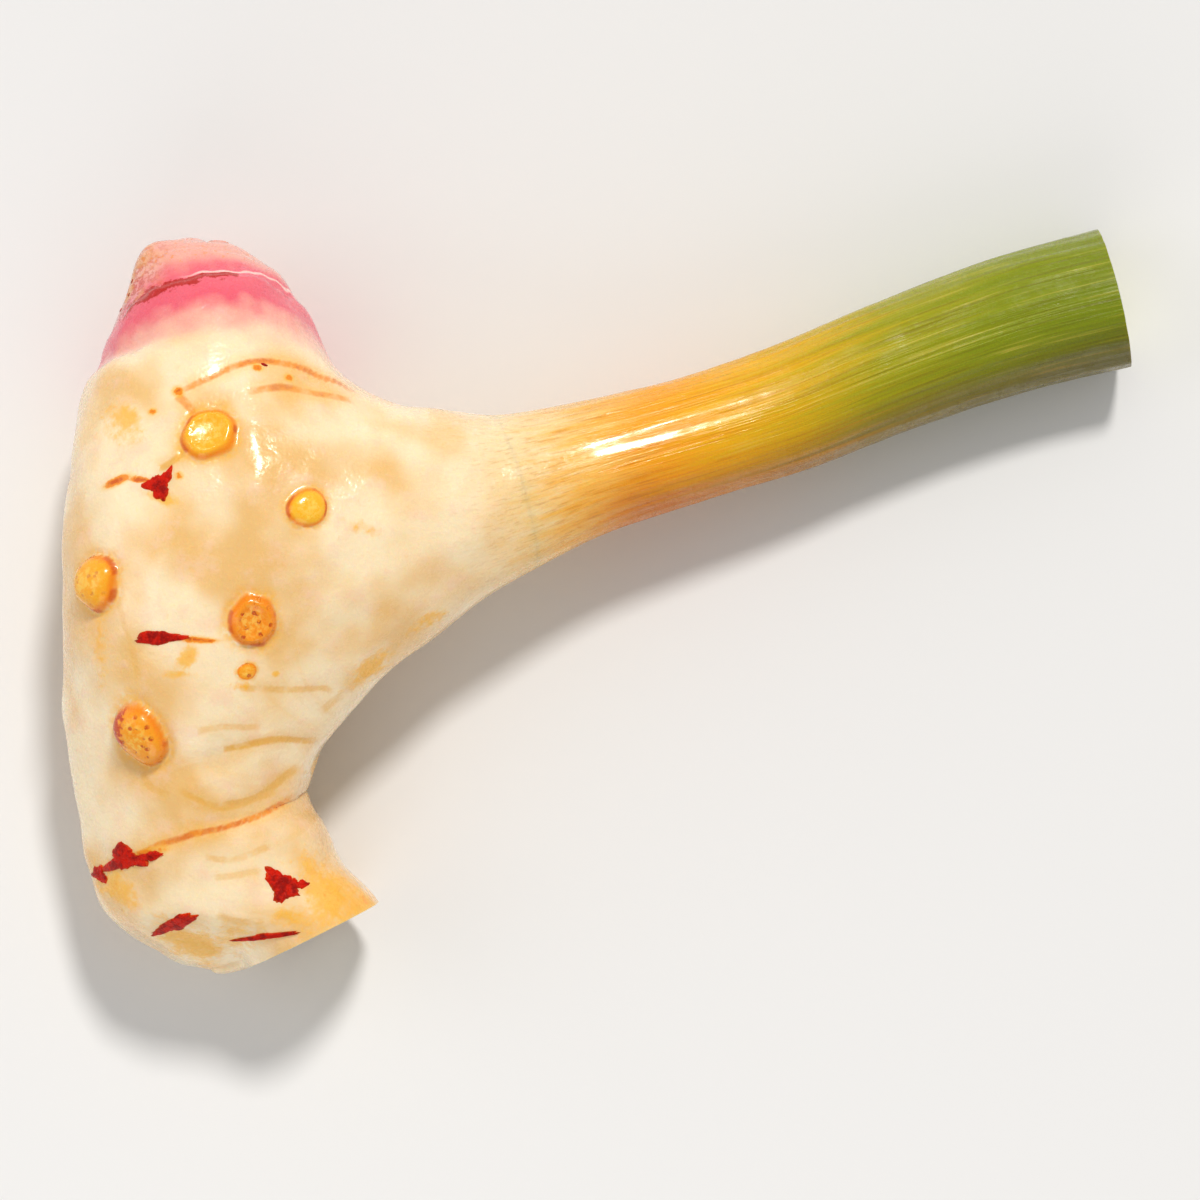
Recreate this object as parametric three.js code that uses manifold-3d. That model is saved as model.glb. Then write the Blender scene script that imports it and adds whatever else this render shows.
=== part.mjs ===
// A galangal root as it comes from the ground, trimmed for the kitchen: a short arched length of
// rhizome with a bud at one end and a cut face at the other, and the stem that grows from its side.
//
// Millimetres, +Z up. The root lies on the plane z = 0, which it meets under the bud, under the
// foot and under the cut end of the stem. The origin is the middle of the footprint, on that plane.

import * as THREE from "three";
import { ParametricGeometry } from "three/addons/geometries/ParametricGeometry.js";
import { mergeVertices } from "three/addons/utils/BufferGeometryUtils.js";
import Module from "manifold-3d";

const wasm = await Module();
wasm.setup();

// Driving dimensions.
const NECK_GAP = 0.3; // between the rhizome and the stem, where the stem leaves it
const WELD = 1e-3; // points nearer than this are one point
const RHIZOME_MESH = { steps: 46, sides: 40 };
const STEM_MESH = { steps: 30, sides: 36 };
const BRANCH_MESH = { steps: 12, sides: 32 };
const STUB_MESH = { around: 14, rings: 8 };
const NECK = 0.36; // how far along the stem's sweep it parts from the rhizome, from 0 to 1
const BODY_LUMPS = { depth: 0.022, turns: 3, waves: 2.5 };
const STEM_LUMPS = { depth: 0.012, turns: 2, waves: 1.5 };
const CUT_THROUGH = new THREE.Vector3(-34.2, -39.8, 12); // a point on the cut face of the foot
const CUT_FACES = new THREE.Vector3(0.445, -0.896, 0).normalize();

// A sweep goes through stations. Each is the middle of a section that stands square to the sweep,
// with half its width, measured level, and half its height.
const station = (x, y, z, across, up) => ({
  centre: new THREE.Vector3(x, y, z),
  size: new THREE.Vector3(across, up, 0),
});

// From the bud's tip, over the high middle and the narrow waist, to the round heel of the foot.
const BODY = [
  station(-49.6, 42.6, 9.6, 0.8, 0.8),
  station(-49.4, 42.0, 9.7, 3.1, 3.0),
  station(-49.1, 40.4, 10.0, 5.9, 5.7),
  station(-47.6, 36.2, 10.7, 9.6, 9.2),
  station(-46.4, 32.0, 11.6, 12.1, 11.6),
  station(-45.5, 27.6, 12.4, 13.9, 13.1),
  station(-45.2, 21.6, 14.1, 15.4, 14.5),
  station(-44.9, 12.6, 16.6, 16.6, 15.6),
  station(-45.4, 2.6, 17.2, 17.3, 15.8),
  station(-46.2, -6.8, 16.4, 16.8, 15.2),
  station(-47.7, -15.2, 14.6, 14.9, 13.9),
  station(-48.6, -22.0, 12.7, 12.7, 12.7),
  station(-47.7, -27.0, 11.9, 12.8, 12.5),
  station(-46.4, -31.0, 11.4, 12.9, 12.0),
  station(-45.0, -34.8, 11.2, 11.4, 11.0),
  station(-43.9, -38.2, 11.3, 9.0, 8.8),
  station(-43.2, -41.0, 11.5, 6.2, 6.0),
  station(-42.8, -42.6, 11.6, 2.6, 2.6),
];

// The toe of the foot, which flares towards the cut that parted it from the rest of the rhizome.
const TOE = [
  station(-46.4, -21.0, 12.4, 7.4, 10.8),
  station(-44.0, -27.0, 12.0, 8.2, 11.2),
  station(-41.2, -32.0, 11.8, 8.5, 11.5),
  station(-37.1, -36.0, 11.7, 8.0, 11.5),
  station(-32.4, -39.2, 11.7, 7.4, 11.3),
  station(-29.8, -43.4, 11.7, 7.3, 11.2),
];

// From inside the rhizome, out through the flared shoulder, to the cut end.
const STEM = [
  station(-38.0, 7.4, 16.8, 20.6, 14.6),
  station(-31.5, 8.2, 16.6, 18.8, 14.0),
  station(-24.6, 9.4, 16.0, 15.4, 12.7),
  station(-17.2, 11.2, 15.1, 11.7, 10.7),
  station(-9.7, 13.0, 14.0, 9.2, 9.0),
  station(-0.6, 15.8, 12.5, 7.8, 7.9),
  station(10.9, 19.1, 11.0, 7.3, 7.5),
  station(22.2, 22.6, 9.8, 7.4, 7.3),
  station(33.0, 26.9, 8.7, 7.5, 7.4),
  station(43.4, 30.8, 8.0, 7.6, 7.5),
  station(52.6, 33.8, 7.5, 7.8, 7.7),
  station(61.8, 36.1, 7.3, 7.9, 7.7),
];

// Where roots were trimmed off: how far along the rhizome, which way round it in degrees, with 0 on
// the stem's side and 90 on top, and the stub's radius and rise.
const ROOT_STUBS = [
  { along: 0.358, turn: 93, radius: 3.1, rise: 0.9 },
  { along: 0.415, turn: 56, radius: 2.6, rise: 2.4 },
  { along: 0.466, turn: 145, radius: 3.2, rise: 1.6 },
  { along: 0.493, turn: 74, radius: 3.0, rise: 1.0 },
  { along: 0.583, turn: 116, radius: 3.5, rise: 1.8 },
  { along: 0.34, turn: 176, radius: 2.4, rise: 0.7 },
  { along: 0.405, turn: 222, radius: 2.9, rise: 1.0 },
  { along: 0.49, turn: 238, radius: 3.0, rise: 0.9 },
  { along: 0.555, turn: 302, radius: 2.8, rise: 1.0 },
  { along: 0.63, turn: 200, radius: 2.6, rise: 1.1 },
];

// The middle, the half sizes and the direction of a sweep at a share t of its length.
function sweepThrough(stations) {
  const middle = new THREE.CatmullRomCurve3(stations.map((s) => s.centre), false, "catmullrom", 0.5);
  const size = new THREE.CatmullRomCurve3(stations.map((s) => s.size), false, "catmullrom", 0.5);
  return {
    middle: (t) => middle.getPoint(t),
    size: (t) => size.getPoint(t),
    forward: (t) => middle.getTangent(t),
  };
}

// A point on the sweep's skin. Gentle lumps keep a section from being a true ellipse.
function skinPoint(sweep, t, turn, lumps, target) {
  const forward = sweep.forward(t);
  const side = new THREE.Vector3(-forward.y, forward.x, 0).normalize();
  const up = new THREE.Vector3().crossVectors(forward, side).normalize();
  const { x: across, y: rise } = sweep.size(t);
  const lump = 1 + lumps.depth * Math.sin(lumps.turns * turn + 2 * Math.PI * lumps.waves * t);
  return target
    .copy(sweep.middle(t))
    .addScaledVector(side, across * lump * Math.cos(turn))
    .addScaledVector(up, rise * lump * Math.sin(turn));
}

// A closed solid along a sweep, with a flat face at each end.
function sweptGeometry(sweep, { steps, sides }, lumps) {
  const surface = (u, v, target) => {
    const row = Math.round(v * steps);
    const t = THREE.MathUtils.clamp((row - 1) / (steps - 2), 0, 1);
    if (row === 0 || row === steps) target.copy(sweep.middle(t));
    else skinPoint(sweep, t, 2 * Math.PI * (u % 1), lumps, target);
  };
  return new ParametricGeometry(surface, sides, steps);
}

// A geometry as a solid that can be joined and cut.
function solidOf(geometry) {
  const bare = geometry.clone();
  bare.deleteAttribute("normal");
  bare.deleteAttribute("uv");
  const welded = mergeVertices(bare, WELD);
  const mesh = new wasm.Mesh({
    numProp: 3,
    vertProperties: welded.attributes.position.array,
    triVerts: new Uint32Array(welded.index.array),
  });
  return new wasm.Manifold(mesh);
}

// A solid as a geometry that can be shown.
function geometryOf(solid) {
  const { vertProperties, triVerts } = solid.getMesh();
  const geometry = new THREE.BufferGeometry();
  geometry.setAttribute("position", new THREE.BufferAttribute(vertProperties, 3));
  geometry.setIndex(new THREE.BufferAttribute(triVerts, 1));
  geometry.computeVertexNormals();
  return geometry;
}

// What lies on the side of a plane that its normal points to.
const keepBeyond = (solid, normal, point) => solid.trimByPlane(normal.toArray(), normal.dot(point));

// What lies above the plane that the root rests on.
const onFloor = (solid) => solid.trimByPlane([0, 0, 1], 0);

// The stub of a trimmed root: a low button that stands out of the skin.
function rootStub(sweep, { along, turn, radius, rise }) {
  const angle = THREE.MathUtils.degToRad(turn);
  const foot = skinPoint(sweep, along, angle, BODY_LUMPS, new THREE.Vector3());
  const outward = foot.clone().sub(sweep.middle(along)).normalize();
  return new THREE.SphereGeometry(1, STUB_MESH.around, STUB_MESH.rings)
    .rotateX(Math.PI / 2)
    .scale(radius, radius, rise)
    .applyQuaternion(new THREE.Quaternion().setFromUnitVectors(new THREE.Vector3(0, 0, 1), outward))
    .translate(foot.x, foot.y, foot.z);
}

function namedMesh(name, solid, { color, roughness }) {
  const material = new THREE.MeshStandardMaterial({ color, roughness, metalness: 0 });
  const mesh = new THREE.Mesh(geometryOf(solid), material);
  mesh.name = name;
  return mesh;
}

const bodySweep = sweepThrough(BODY);
const stemSweep = sweepThrough(STEM);
const neckPoint = stemSweep.middle(NECK);
const neckForward = stemSweep.forward(NECK);
const stemStart = neckPoint.clone().addScaledVector(neckForward, NECK_GAP);

const body = solidOf(sweptGeometry(bodySweep, RHIZOME_MESH, BODY_LUMPS));
const toe = solidOf(sweptGeometry(sweepThrough(TOE), BRANCH_MESH, BODY_LUMPS));
const foot = keepBeyond(body.add(toe), CUT_FACES.clone().negate(), CUT_THROUGH);

const wholeStem = solidOf(sweptGeometry(stemSweep, STEM_MESH, STEM_LUMPS));
const shoulder = keepBeyond(wholeStem, neckForward.clone().negate(), neckPoint);
const stem = keepBeyond(wholeStem, neckForward, stemStart);
const rhizome = ROOT_STUBS.map((stub) => solidOf(rootStub(bodySweep, stub))).reduce(
  (joined, stub) => joined.add(stub),
  foot.add(shoulder),
);

const root = new THREE.Group();
root.add(namedMesh("rhizome", onFloor(rhizome), { color: 0xf6e3c2, roughness: 0.42 }));
root.add(namedMesh("stem", onFloor(stem), { color: 0xc3b32a, roughness: 0.38 }));

// The origin is set to the middle of the footprint.
const footprint = new THREE.Box3().setFromObject(root).getCenter(new THREE.Vector3());
root.position.set(-footprint.x, -footprint.y, 0);

export default root;
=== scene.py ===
"""A galangal root lying on a pale floor.

The root is a short, swollen rhizome with a pink bud at one end and a cut foot at the other. A
stem grows out of its side and has been cut to a stub. One smooth skin is grown over both, then
it is given its node lines, scale edges, root scars, folds and ribs, and cut into its pieces.

Shapes are worked out in millimetres, in the sketch frame of the CAD model, and are moved to the
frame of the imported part, in metres, as they become Blender objects.
"""

from __future__ import annotations

import logging
import math
from dataclasses import dataclass, field
from enum import Enum
from typing import Sequence, Union

import bmesh
import bpy
import numpy as np
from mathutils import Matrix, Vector
from mathutils.bvhtree import BVHTree


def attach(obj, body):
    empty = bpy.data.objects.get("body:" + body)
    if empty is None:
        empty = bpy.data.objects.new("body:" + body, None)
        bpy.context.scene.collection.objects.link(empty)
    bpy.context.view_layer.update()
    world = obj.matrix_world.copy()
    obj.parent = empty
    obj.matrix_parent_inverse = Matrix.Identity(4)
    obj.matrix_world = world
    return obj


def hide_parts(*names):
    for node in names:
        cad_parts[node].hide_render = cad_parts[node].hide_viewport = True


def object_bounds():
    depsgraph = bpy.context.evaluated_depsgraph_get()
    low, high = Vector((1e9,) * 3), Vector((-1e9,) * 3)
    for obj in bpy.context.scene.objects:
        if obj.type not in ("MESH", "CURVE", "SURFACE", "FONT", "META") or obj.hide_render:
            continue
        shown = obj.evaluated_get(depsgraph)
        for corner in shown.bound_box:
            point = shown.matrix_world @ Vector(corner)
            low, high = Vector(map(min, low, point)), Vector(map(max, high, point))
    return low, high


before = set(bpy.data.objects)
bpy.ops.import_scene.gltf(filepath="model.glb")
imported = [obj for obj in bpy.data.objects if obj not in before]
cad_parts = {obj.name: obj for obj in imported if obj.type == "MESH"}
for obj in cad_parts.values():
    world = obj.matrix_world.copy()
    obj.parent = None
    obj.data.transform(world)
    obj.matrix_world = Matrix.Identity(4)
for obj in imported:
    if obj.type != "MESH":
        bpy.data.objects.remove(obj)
CAD_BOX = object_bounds()

log = logging.getLogger("galangal")

MM = 0.001
WELD_MM = 0.001  # vertices nearer than this are one vertex
ROOT_BODY = "root"

Colour = tuple[float, float, float]
Array = np.ndarray


def srgb(red: int, green: int, blue: int) -> Colour:
    """Turn a screen colour into the linear one that shaders use.

    Args:
        red: Red, from 0 to 255.
        green: Green, from 0 to 255.
        blue: Blue, from 0 to 255.

    Returns:
        The linear colour, each part from 0 to 1.
    """
    parts = [channel / 255.0 for channel in (red, green, blue)]
    linear = [p / 12.92 if p <= 0.04045 else ((p + 0.055) / 1.055) ** 2.4 for p in parts]
    return linear[0], linear[1], linear[2]


def smooth_step(low: float, high: float, value: Array) -> Array:
    """Rise smoothly from 0 to 1 as value goes from low to high.

    Args:
        low: Where the rise starts; it may be above high, for a fall.
        high: Where the rise ends.
        value: What is compared.

    Returns:
        The share risen, from 0 to 1.
    """
    share = np.clip((value - low) / (high - low), 0.0, 1.0)
    return share * share * (3.0 - 2.0 * share)


def bump(value: Array, width: float) -> Array:
    """Give a bell of height 1 around zero.

    Args:
        value: The distance from the bell's middle.
        width: The distance at which it has fallen to 0.37.

    Returns:
        The height of the bell.
    """
    return np.exp(-((value / width) ** 2))


def ripple(points: Array, wavelength: float, seed: int, waves: int = 14) -> Array:
    """Sum plane waves of many directions into a soft, uneven field.

    Args:
        points: Where to evaluate it, one row each.
        wavelength: The typical distance between crests, in the unit of points.
        seed: Fixes the directions and phases.
        waves: How many waves are summed.

    Returns:
        The field's value at each point, mostly between -1 and 1.
    """
    rng = np.random.default_rng(seed)
    directions = rng.normal(size=(waves, 3))
    directions /= np.linalg.norm(directions, axis=1)[:, None]
    pitch = 2.0 * math.pi / (wavelength * rng.uniform(0.7, 1.5, waves))
    phase = rng.uniform(0.0, 2.0 * math.pi, waves)
    total = np.sin(points @ (directions * pitch[:, None]).T + phase).sum(axis=1)
    return total * math.sqrt(2.0 / waves) * 0.7


# ------------------------------
# The form: one smooth skin over three sweeps
# ------------------------------


@dataclass(frozen=True)
class Lumps:
    """Gentle unevenness that keeps a sweep's sections from being true ellipses."""

    depth: float
    turns: int
    waves: float


@dataclass
class Located:
    """Where points lie relative to a sweep."""

    along: Array
    share: Array
    across: Array
    rise: Array
    angle: Array
    distance: Array


class Sweep:
    """A solid whose elliptical sections follow a curved middle line."""

    SAMPLES = 360
    CHUNK = 20000
    CAP_ROUND = 0.35  # how far a rounded end stands out, as a share of its radius

    def __init__(self, stations: Sequence[tuple[float, ...]], lumps: Lumps) -> None:
        """Sample the middle line and the sections.

        Args:
            stations: Rows of x, y, z, half width and half height, in millimetres.
            lumps: The unevenness of the sections.
        """
        rows = self._spline(np.array(stations, dtype=float))
        self.lumps = lumps
        self.centre = rows[:, :3]
        self.half = np.maximum(rows[:, 3:5], 0.3)
        forward = np.gradient(self.centre, axis=0)
        self.spacing = np.linalg.norm(forward, axis=1)
        self.forward = forward / self.spacing[:, None]
        side = np.stack([-self.forward[:, 1], self.forward[:, 0], 0 * self.spacing], axis=1)
        self.side = side / np.linalg.norm(side, axis=1)[:, None]
        self.up = np.cross(self.forward, self.side)
        self.arc = np.concatenate([[0.0], np.cumsum(self._gaps())])

    def _gaps(self) -> Array:
        """Measure the distance between neighbouring samples."""
        return np.linalg.norm(np.diff(self.centre, axis=0), axis=1)

    def _spline(self, knots: Array) -> Array:
        """Run a Catmull-Rom spline through the knots.

        Args:
            knots: The values at the stations.

        Returns:
            The values at the samples.
        """
        padded = np.vstack([2 * knots[0] - knots[1], knots, 2 * knots[-1] - knots[-2]])
        at = np.linspace(0, len(knots) - 1, self.SAMPLES)
        index = np.minimum(at.astype(int), len(knots) - 2)
        t = (at - index)[:, None]
        a, b, c, d = (padded[index + k] for k in range(4))
        cubic = (3 * b - a - 3 * c + d) * t**3
        square = (2 * a - 5 * b + 4 * c - d) * t**2
        return 0.5 * (2 * b + (c - a) * t + square + cubic)

    def at_share(self, share: float) -> tuple[Array, Array]:
        """Give the middle line's point and direction at a share of its stations."""
        index = int(round(share * (self.SAMPLES - 1)))
        return self.centre[index], self.forward[index]

    def nearest(self, points: Array) -> Array:
        """Find the sample nearest to each point.

        Args:
            points: The points, in millimetres.

        Returns:
            The nearest sample to each point.
        """
        found = []
        for start in range(0, len(points), self.CHUNK):
            block = points[start : start + self.CHUNK]
            square = (self.centre**2).sum(axis=1) - 2.0 * block @ self.centre.T
            found.append(np.argmin(square, axis=1))
        return np.concatenate(found)

    def locate(self, points: Array, near: Array) -> Located:
        """Express points in the sweep's own coordinates.

        Args:
            points: The points, one row each.
            near: The nearest sample to each of them.

        Returns:
            Where each one lies, with its signed distance from the skin.
        """
        ahead = ((points - self.centre[near]) * self.forward[near]).sum(axis=1)
        at = near + ahead / self.spacing[near]
        held = np.clip(at, 0.0, self.SAMPLES - 1.001)
        low = held.astype(int)
        share = (held - low)[:, None]

        def mixed(values: Array) -> Array:
            """Blend the values of the two samples."""
            return values[low] * (1 - share) + values[low + 1] * share

        offset = points - mixed(self.centre)
        half = mixed(self.half)
        across = (offset * mixed(self.side)).sum(axis=1)
        rise = (offset * mixed(self.up)).sum(axis=1)
        beyond = np.where(at == held, 0.0, (offset * mixed(self.forward)).sum(axis=1))
        angle = np.arctan2(rise / half[:, 1], across / half[:, 0])
        share_along = held / (self.SAMPLES - 1)
        wave = self.lumps.turns * angle + 2 * math.pi * self.lumps.waves * share_along
        swell = 1.0 + self.lumps.depth * np.sin(wave)
        radius = np.sqrt(half[:, 0] * half[:, 1])
        inside = (across / half[:, 0]) ** 2 + (rise / half[:, 1]) ** 2
        size = np.sqrt(inside + (beyond / (self.CAP_ROUND * radius)) ** 2) / swell
        along = np.interp(held, np.arange(self.SAMPLES), self.arc)
        return Located(along, share_along, across, rise, angle, (size - 1.0) * radius)

    def shell(self, sides: int = 40, step: int = 4) -> tuple[Array, list[tuple[int, ...]]]:
        """Make a coarse closed tube, which shows roughly where the skin is.

        Args:
            sides: How many sides the tube has.
            step: How many samples apart its rings are.

        Returns:
            Its points and its faces.
        """
        rows = list(range(0, self.SAMPLES, step))
        turn = np.linspace(0, 2 * math.pi, sides, endpoint=False)
        points: list[Array] = []
        for row in rows:
            wide = np.outer(np.cos(turn) * self.half[row, 0], self.side[row])
            high = np.outer(np.sin(turn) * self.half[row, 1], self.up[row])
            points.append(self.centre[row] + wide + high)
        faces: list[tuple[int, ...]] = []
        for row in range(len(rows) - 1):
            for k in range(sides):
                a, b = row * sides + k, row * sides + (k + 1) % sides
                faces.append((a, b, b + sides, a + sides))
        faces.append(tuple(reversed(range(sides))))
        faces.append(tuple(range((len(rows) - 1) * sides, len(rows) * sides)))
        return np.vstack(points), faces


BODY_SWEEP = Sweep(
    (
        (-49.6, 42.6, 9.6, 0.8, 0.8),
        (-49.4, 42.0, 9.7, 3.1, 3.0),
        (-49.1, 40.4, 10.0, 5.9, 5.7),
        (-47.6, 36.2, 10.7, 9.6, 9.2),
        (-46.4, 32.0, 11.6, 12.1, 11.6),
        (-45.5, 27.6, 12.4, 13.9, 13.1),
        (-45.2, 21.6, 14.1, 15.4, 14.5),
        (-44.9, 12.6, 16.6, 16.6, 15.6),
        (-45.4, 2.6, 17.2, 17.3, 15.8),
        (-46.2, -6.8, 16.4, 16.8, 15.2),
        (-47.7, -15.2, 14.6, 14.9, 13.9),
        (-48.6, -22.0, 12.7, 12.7, 12.7),
        (-47.7, -27.0, 11.9, 12.8, 12.5),
        (-46.4, -31.0, 11.4, 12.9, 12.0),
        (-45.0, -34.8, 11.2, 11.4, 11.0),
        (-43.9, -38.2, 11.3, 9.0, 8.8),
        (-43.2, -41.0, 11.5, 6.2, 6.0),
        (-42.8, -42.6, 11.6, 2.6, 2.6),
    ),
    Lumps(0.022, 3, 2.5),
)
TOE_SWEEP = Sweep(
    (
        (-46.4, -21.0, 12.4, 7.4, 10.8),
        (-44.0, -27.0, 12.0, 8.2, 11.2),
        (-41.2, -32.0, 11.8, 8.5, 11.5),
        (-37.1, -36.0, 11.7, 8.0, 11.5),
        (-32.4, -39.2, 11.7, 7.4, 11.3),
        (-29.8, -43.4, 11.7, 7.3, 11.2),
    ),
    Lumps(0.022, 3, 2.5),
)
STEM_SWEEP = Sweep(
    (
        (-38.0, 7.4, 16.8, 20.6, 14.6),
        (-31.5, 8.2, 16.6, 18.8, 14.0),
        (-24.6, 9.4, 16.0, 15.4, 12.7),
        (-17.2, 11.2, 15.1, 11.7, 10.7),
        (-9.7, 13.0, 14.0, 9.2, 9.0),
        (-0.6, 15.8, 12.5, 7.8, 7.9),
        (10.9, 19.1, 11.0, 7.3, 7.5),
        (22.2, 22.6, 9.8, 7.4, 7.3),
        (33.0, 26.9, 8.7, 7.5, 7.4),
        (43.4, 30.8, 8.0, 7.6, 7.5),
        (52.6, 33.8, 7.5, 7.8, 7.7),
        (61.8, 36.1, 7.3, 7.9, 7.7),
        (70.0, 38.0, 7.3, 7.9, 7.7),
    ),
    Lumps(0.012, 2, 1.5),
)
NECK_SHARE = 4 / 12
STEM_END_SHARE = 11 / 12
FRAME_SHIFT = (-0.588, -0.253, 0.0)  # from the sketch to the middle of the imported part's footprint
FOOT_CUT_POINT = np.array([-34.2, -39.8, 12.0])
FOOT_CUT_FACES = np.array([0.445, -0.896, 0.0])
# Where the heel's own fillet gives way to the toe's, across and along the floor.
HEEL_ENDS_X = (-39.0, -33.0)
HEEL_ENDS_Y = (-41.0, -36.0)


@dataclass
class Skin:
    """The skin's vertices, with where each lies on the body and on the stem."""

    points: Array
    normals: Array
    faces: list[tuple[int, ...]]
    body: Located
    stem: Located


@dataclass
class RootForm:
    """The smooth form that the rhizome and the stem share.

    Attributes:
        voxel: The size of the skin's faces, in millimetres.
        fillet_stem: How softly the stem runs into the body, in millimetres.
        fillet_toe: How softly the toe of the foot runs into the body, in millimetres.
        fillet_heel: The same at the heel, where the outline of the cut turns a plain corner.
        refine_rounds: How often the skin is relaxed and pulled onto the form.
    """

    voxel: float = 0.42
    fillet_stem: float = 6.0
    fillet_toe: float = 9.0
    fillet_heel: float = 1.5
    refine_rounds: int = 3

    def _nearest(self, points: Array) -> list[Array]:
        """Find the nearest sample of each sweep."""
        return [s.nearest(points) for s in (BODY_SWEEP, TOE_SWEEP, STEM_SWEEP)]

    def _distance(self, points: Array, near: list[Array]) -> Array:
        """Measure the signed distance from the smooth form.

        Args:
            points: The points, in millimetres.
            near: The nearest sample of each sweep.

        Returns:
            The distance, negative inside.
        """
        body = BODY_SWEEP.locate(points, near[0]).distance
        toe = TOE_SWEEP.locate(points, near[1]).distance
        stem = STEM_SWEEP.locate(points, near[2]).distance
        away = smooth_step(*HEEL_ENDS_X, points[:, 0])
        away = np.maximum(away, smooth_step(*HEEL_ENDS_Y, points[:, 1]))
        fillet = self.fillet_heel + (self.fillet_toe - self.fillet_heel) * away
        foot = self._soft_union(body, toe, fillet)
        return self._soft_union(foot, stem, self.fillet_stem)

    @staticmethod
    def _soft_union(a: Array, b: Array, radius: Array | float) -> Array:
        """Join two distance fields with a fillet between them."""
        blend = np.maximum(radius - np.abs(a - b), 0.0) / radius
        return np.minimum(a, b) - blend * blend * radius * 0.25

    def _pull(self, points: Array) -> tuple[Array, Array]:
        """Move points onto the form, and give its outward normals there.

        Args:
            points: The points, in millimetres.

        Returns:
            The moved points and the normals.
        """
        near = self._nearest(points)
        here = self._distance(points, near)
        probe = 0.05
        slope = np.empty_like(points)
        for axis in range(3):
            moved = points.copy()
            moved[:, axis] += probe
            slope[:, axis] = (self._distance(moved, near) - here) / probe
        steep = np.maximum((slope**2).sum(axis=1), 0.05)
        step = slope * (here / steep)[:, None]
        length = np.linalg.norm(step, axis=1)
        step *= np.minimum(1.0, 0.8 / np.maximum(length, 1e-9))[:, None]
        return points - step, slope / np.sqrt(steep)[:, None]

    @staticmethod
    def _relaxed(points: Array, edges: Array) -> Array:
        """Move each vertex halfway to the middle of its neighbours.

        Args:
            points: The points, in millimetres.
            edges: The pairs of joined vertices.

        Returns:
            The moved vertices.
        """
        total = np.zeros_like(points)
        count = np.zeros(len(points))
        for start, end in ((0, 1), (1, 0)):
            np.add.at(total, edges[:, start], points[edges[:, end]])
            np.add.at(count, edges[:, start], 1.0)
        return 0.5 * points + 0.5 * total / count[:, None]

    def build(self) -> Skin:
        """Grow the skin.

        Returns:
            The smooth skin, before any detail, still closed all round.
        """
        points: list[Array] = []
        faces: list[tuple[int, ...]] = []
        for sweep in (BODY_SWEEP, TOE_SWEEP, STEM_SWEEP):
            shell_points, shell_faces = sweep.shell()
            start = sum(len(p) for p in points)
            points.append(shell_points)
            faces += [tuple(start + k for k in face) for face in shell_faces]
        mesh = bpy.data.meshes.new("skin_start")
        mesh.from_pydata(np.vstack(points).tolist(), [], faces)
        start_object = bpy.data.objects.new("skin_start", mesh)
        bpy.context.scene.collection.objects.link(start_object)
        remesh = start_object.modifiers.new("remesh", "REMESH")
        remesh.mode = "VOXEL"
        remesh.voxel_size = self.voxel
        mesh = evaluated_mesh(start_object)
        bpy.data.objects.remove(start_object)

        flat = np.empty(len(mesh.vertices) * 3)
        mesh.vertices.foreach_get("co", flat)
        at = flat.reshape(-1, 3)
        ends = np.empty(len(mesh.edges) * 2, dtype=np.int32)
        mesh.edges.foreach_get("vertices", ends)
        edges = ends.reshape(-1, 2)
        skin_faces = [tuple(p.vertices) for p in mesh.polygons]
        bpy.data.meshes.remove(mesh)
        for _ in range(3):
            at, normals = self._pull(at)
        for _ in range(self.refine_rounds):
            at = self._relaxed(at, edges)
            at, normals = self._pull(at)
        at, normals = self._pull(at)
        near = self._nearest(at)
        body = BODY_SWEEP.locate(at, near[0])
        stem = STEM_SWEEP.locate(at, near[2])
        log.info("skin: %d vertices, %d faces", len(at), len(skin_faces))
        return Skin(at, normals, skin_faces, body, stem)


def evaluated_mesh(thing: bpy.types.Object) -> bpy.types.Mesh:
    """Bake an object's modifiers into a new plain mesh.

    Args:
        thing: The object.

    Returns:
        The new mesh.
    """
    graph = bpy.context.evaluated_depsgraph_get()
    graph.update()
    return bpy.data.meshes.new_from_object(thing.evaluated_get(graph))


# ------------------------------
# The marks that the skin carries
# ------------------------------


class ScarKind(Enum):
    """How the stub of a trimmed root has healed."""

    RIMMED = "a flat disc inside a low rim"
    DOMED = "a rounded button"


@dataclass(frozen=True)
class RootScar:
    """The stub of a trimmed root.

    Attributes:
        x: Where it is, across the floor, in millimetres.
        y: Where it is, along the rhizome, in millimetres.
        radius: Its radius in millimetres.
        rise: How far it stands out in millimetres.
        kind: How it has healed.
        tint: From 0, yellow, to 1, deep orange.
        stretch: How much longer it is than wide.
        turn: The direction of its length, in degrees from +X.
        flush: How red its outer side is, from 0 to 1.
        below: Whether it is on the underside.
    """

    x: float
    y: float
    radius: float
    rise: float
    kind: ScarKind = ScarKind.RIMMED
    tint: float = 0.4
    stretch: float = 1.0
    turn: float = 0.0
    flush: float = 0.0
    below: bool = False

    def reach(self, away: Array) -> Array:
        """Measure how far out points are, with 1 at the scar's edge.

        Args:
            away: The way from the middle of the scar, in millimetres.

        Returns:
            How far out each point is.
        """
        aim = math.radians(self.turn)
        length = away[:, 0] * math.cos(aim) + away[:, 1] * math.sin(aim)
        squared = (away**2).sum(axis=1) - length**2 * (1.0 - 1.0 / self.stretch**2)
        return np.sqrt(np.maximum(squared, 0.0)) / self.radius


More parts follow.
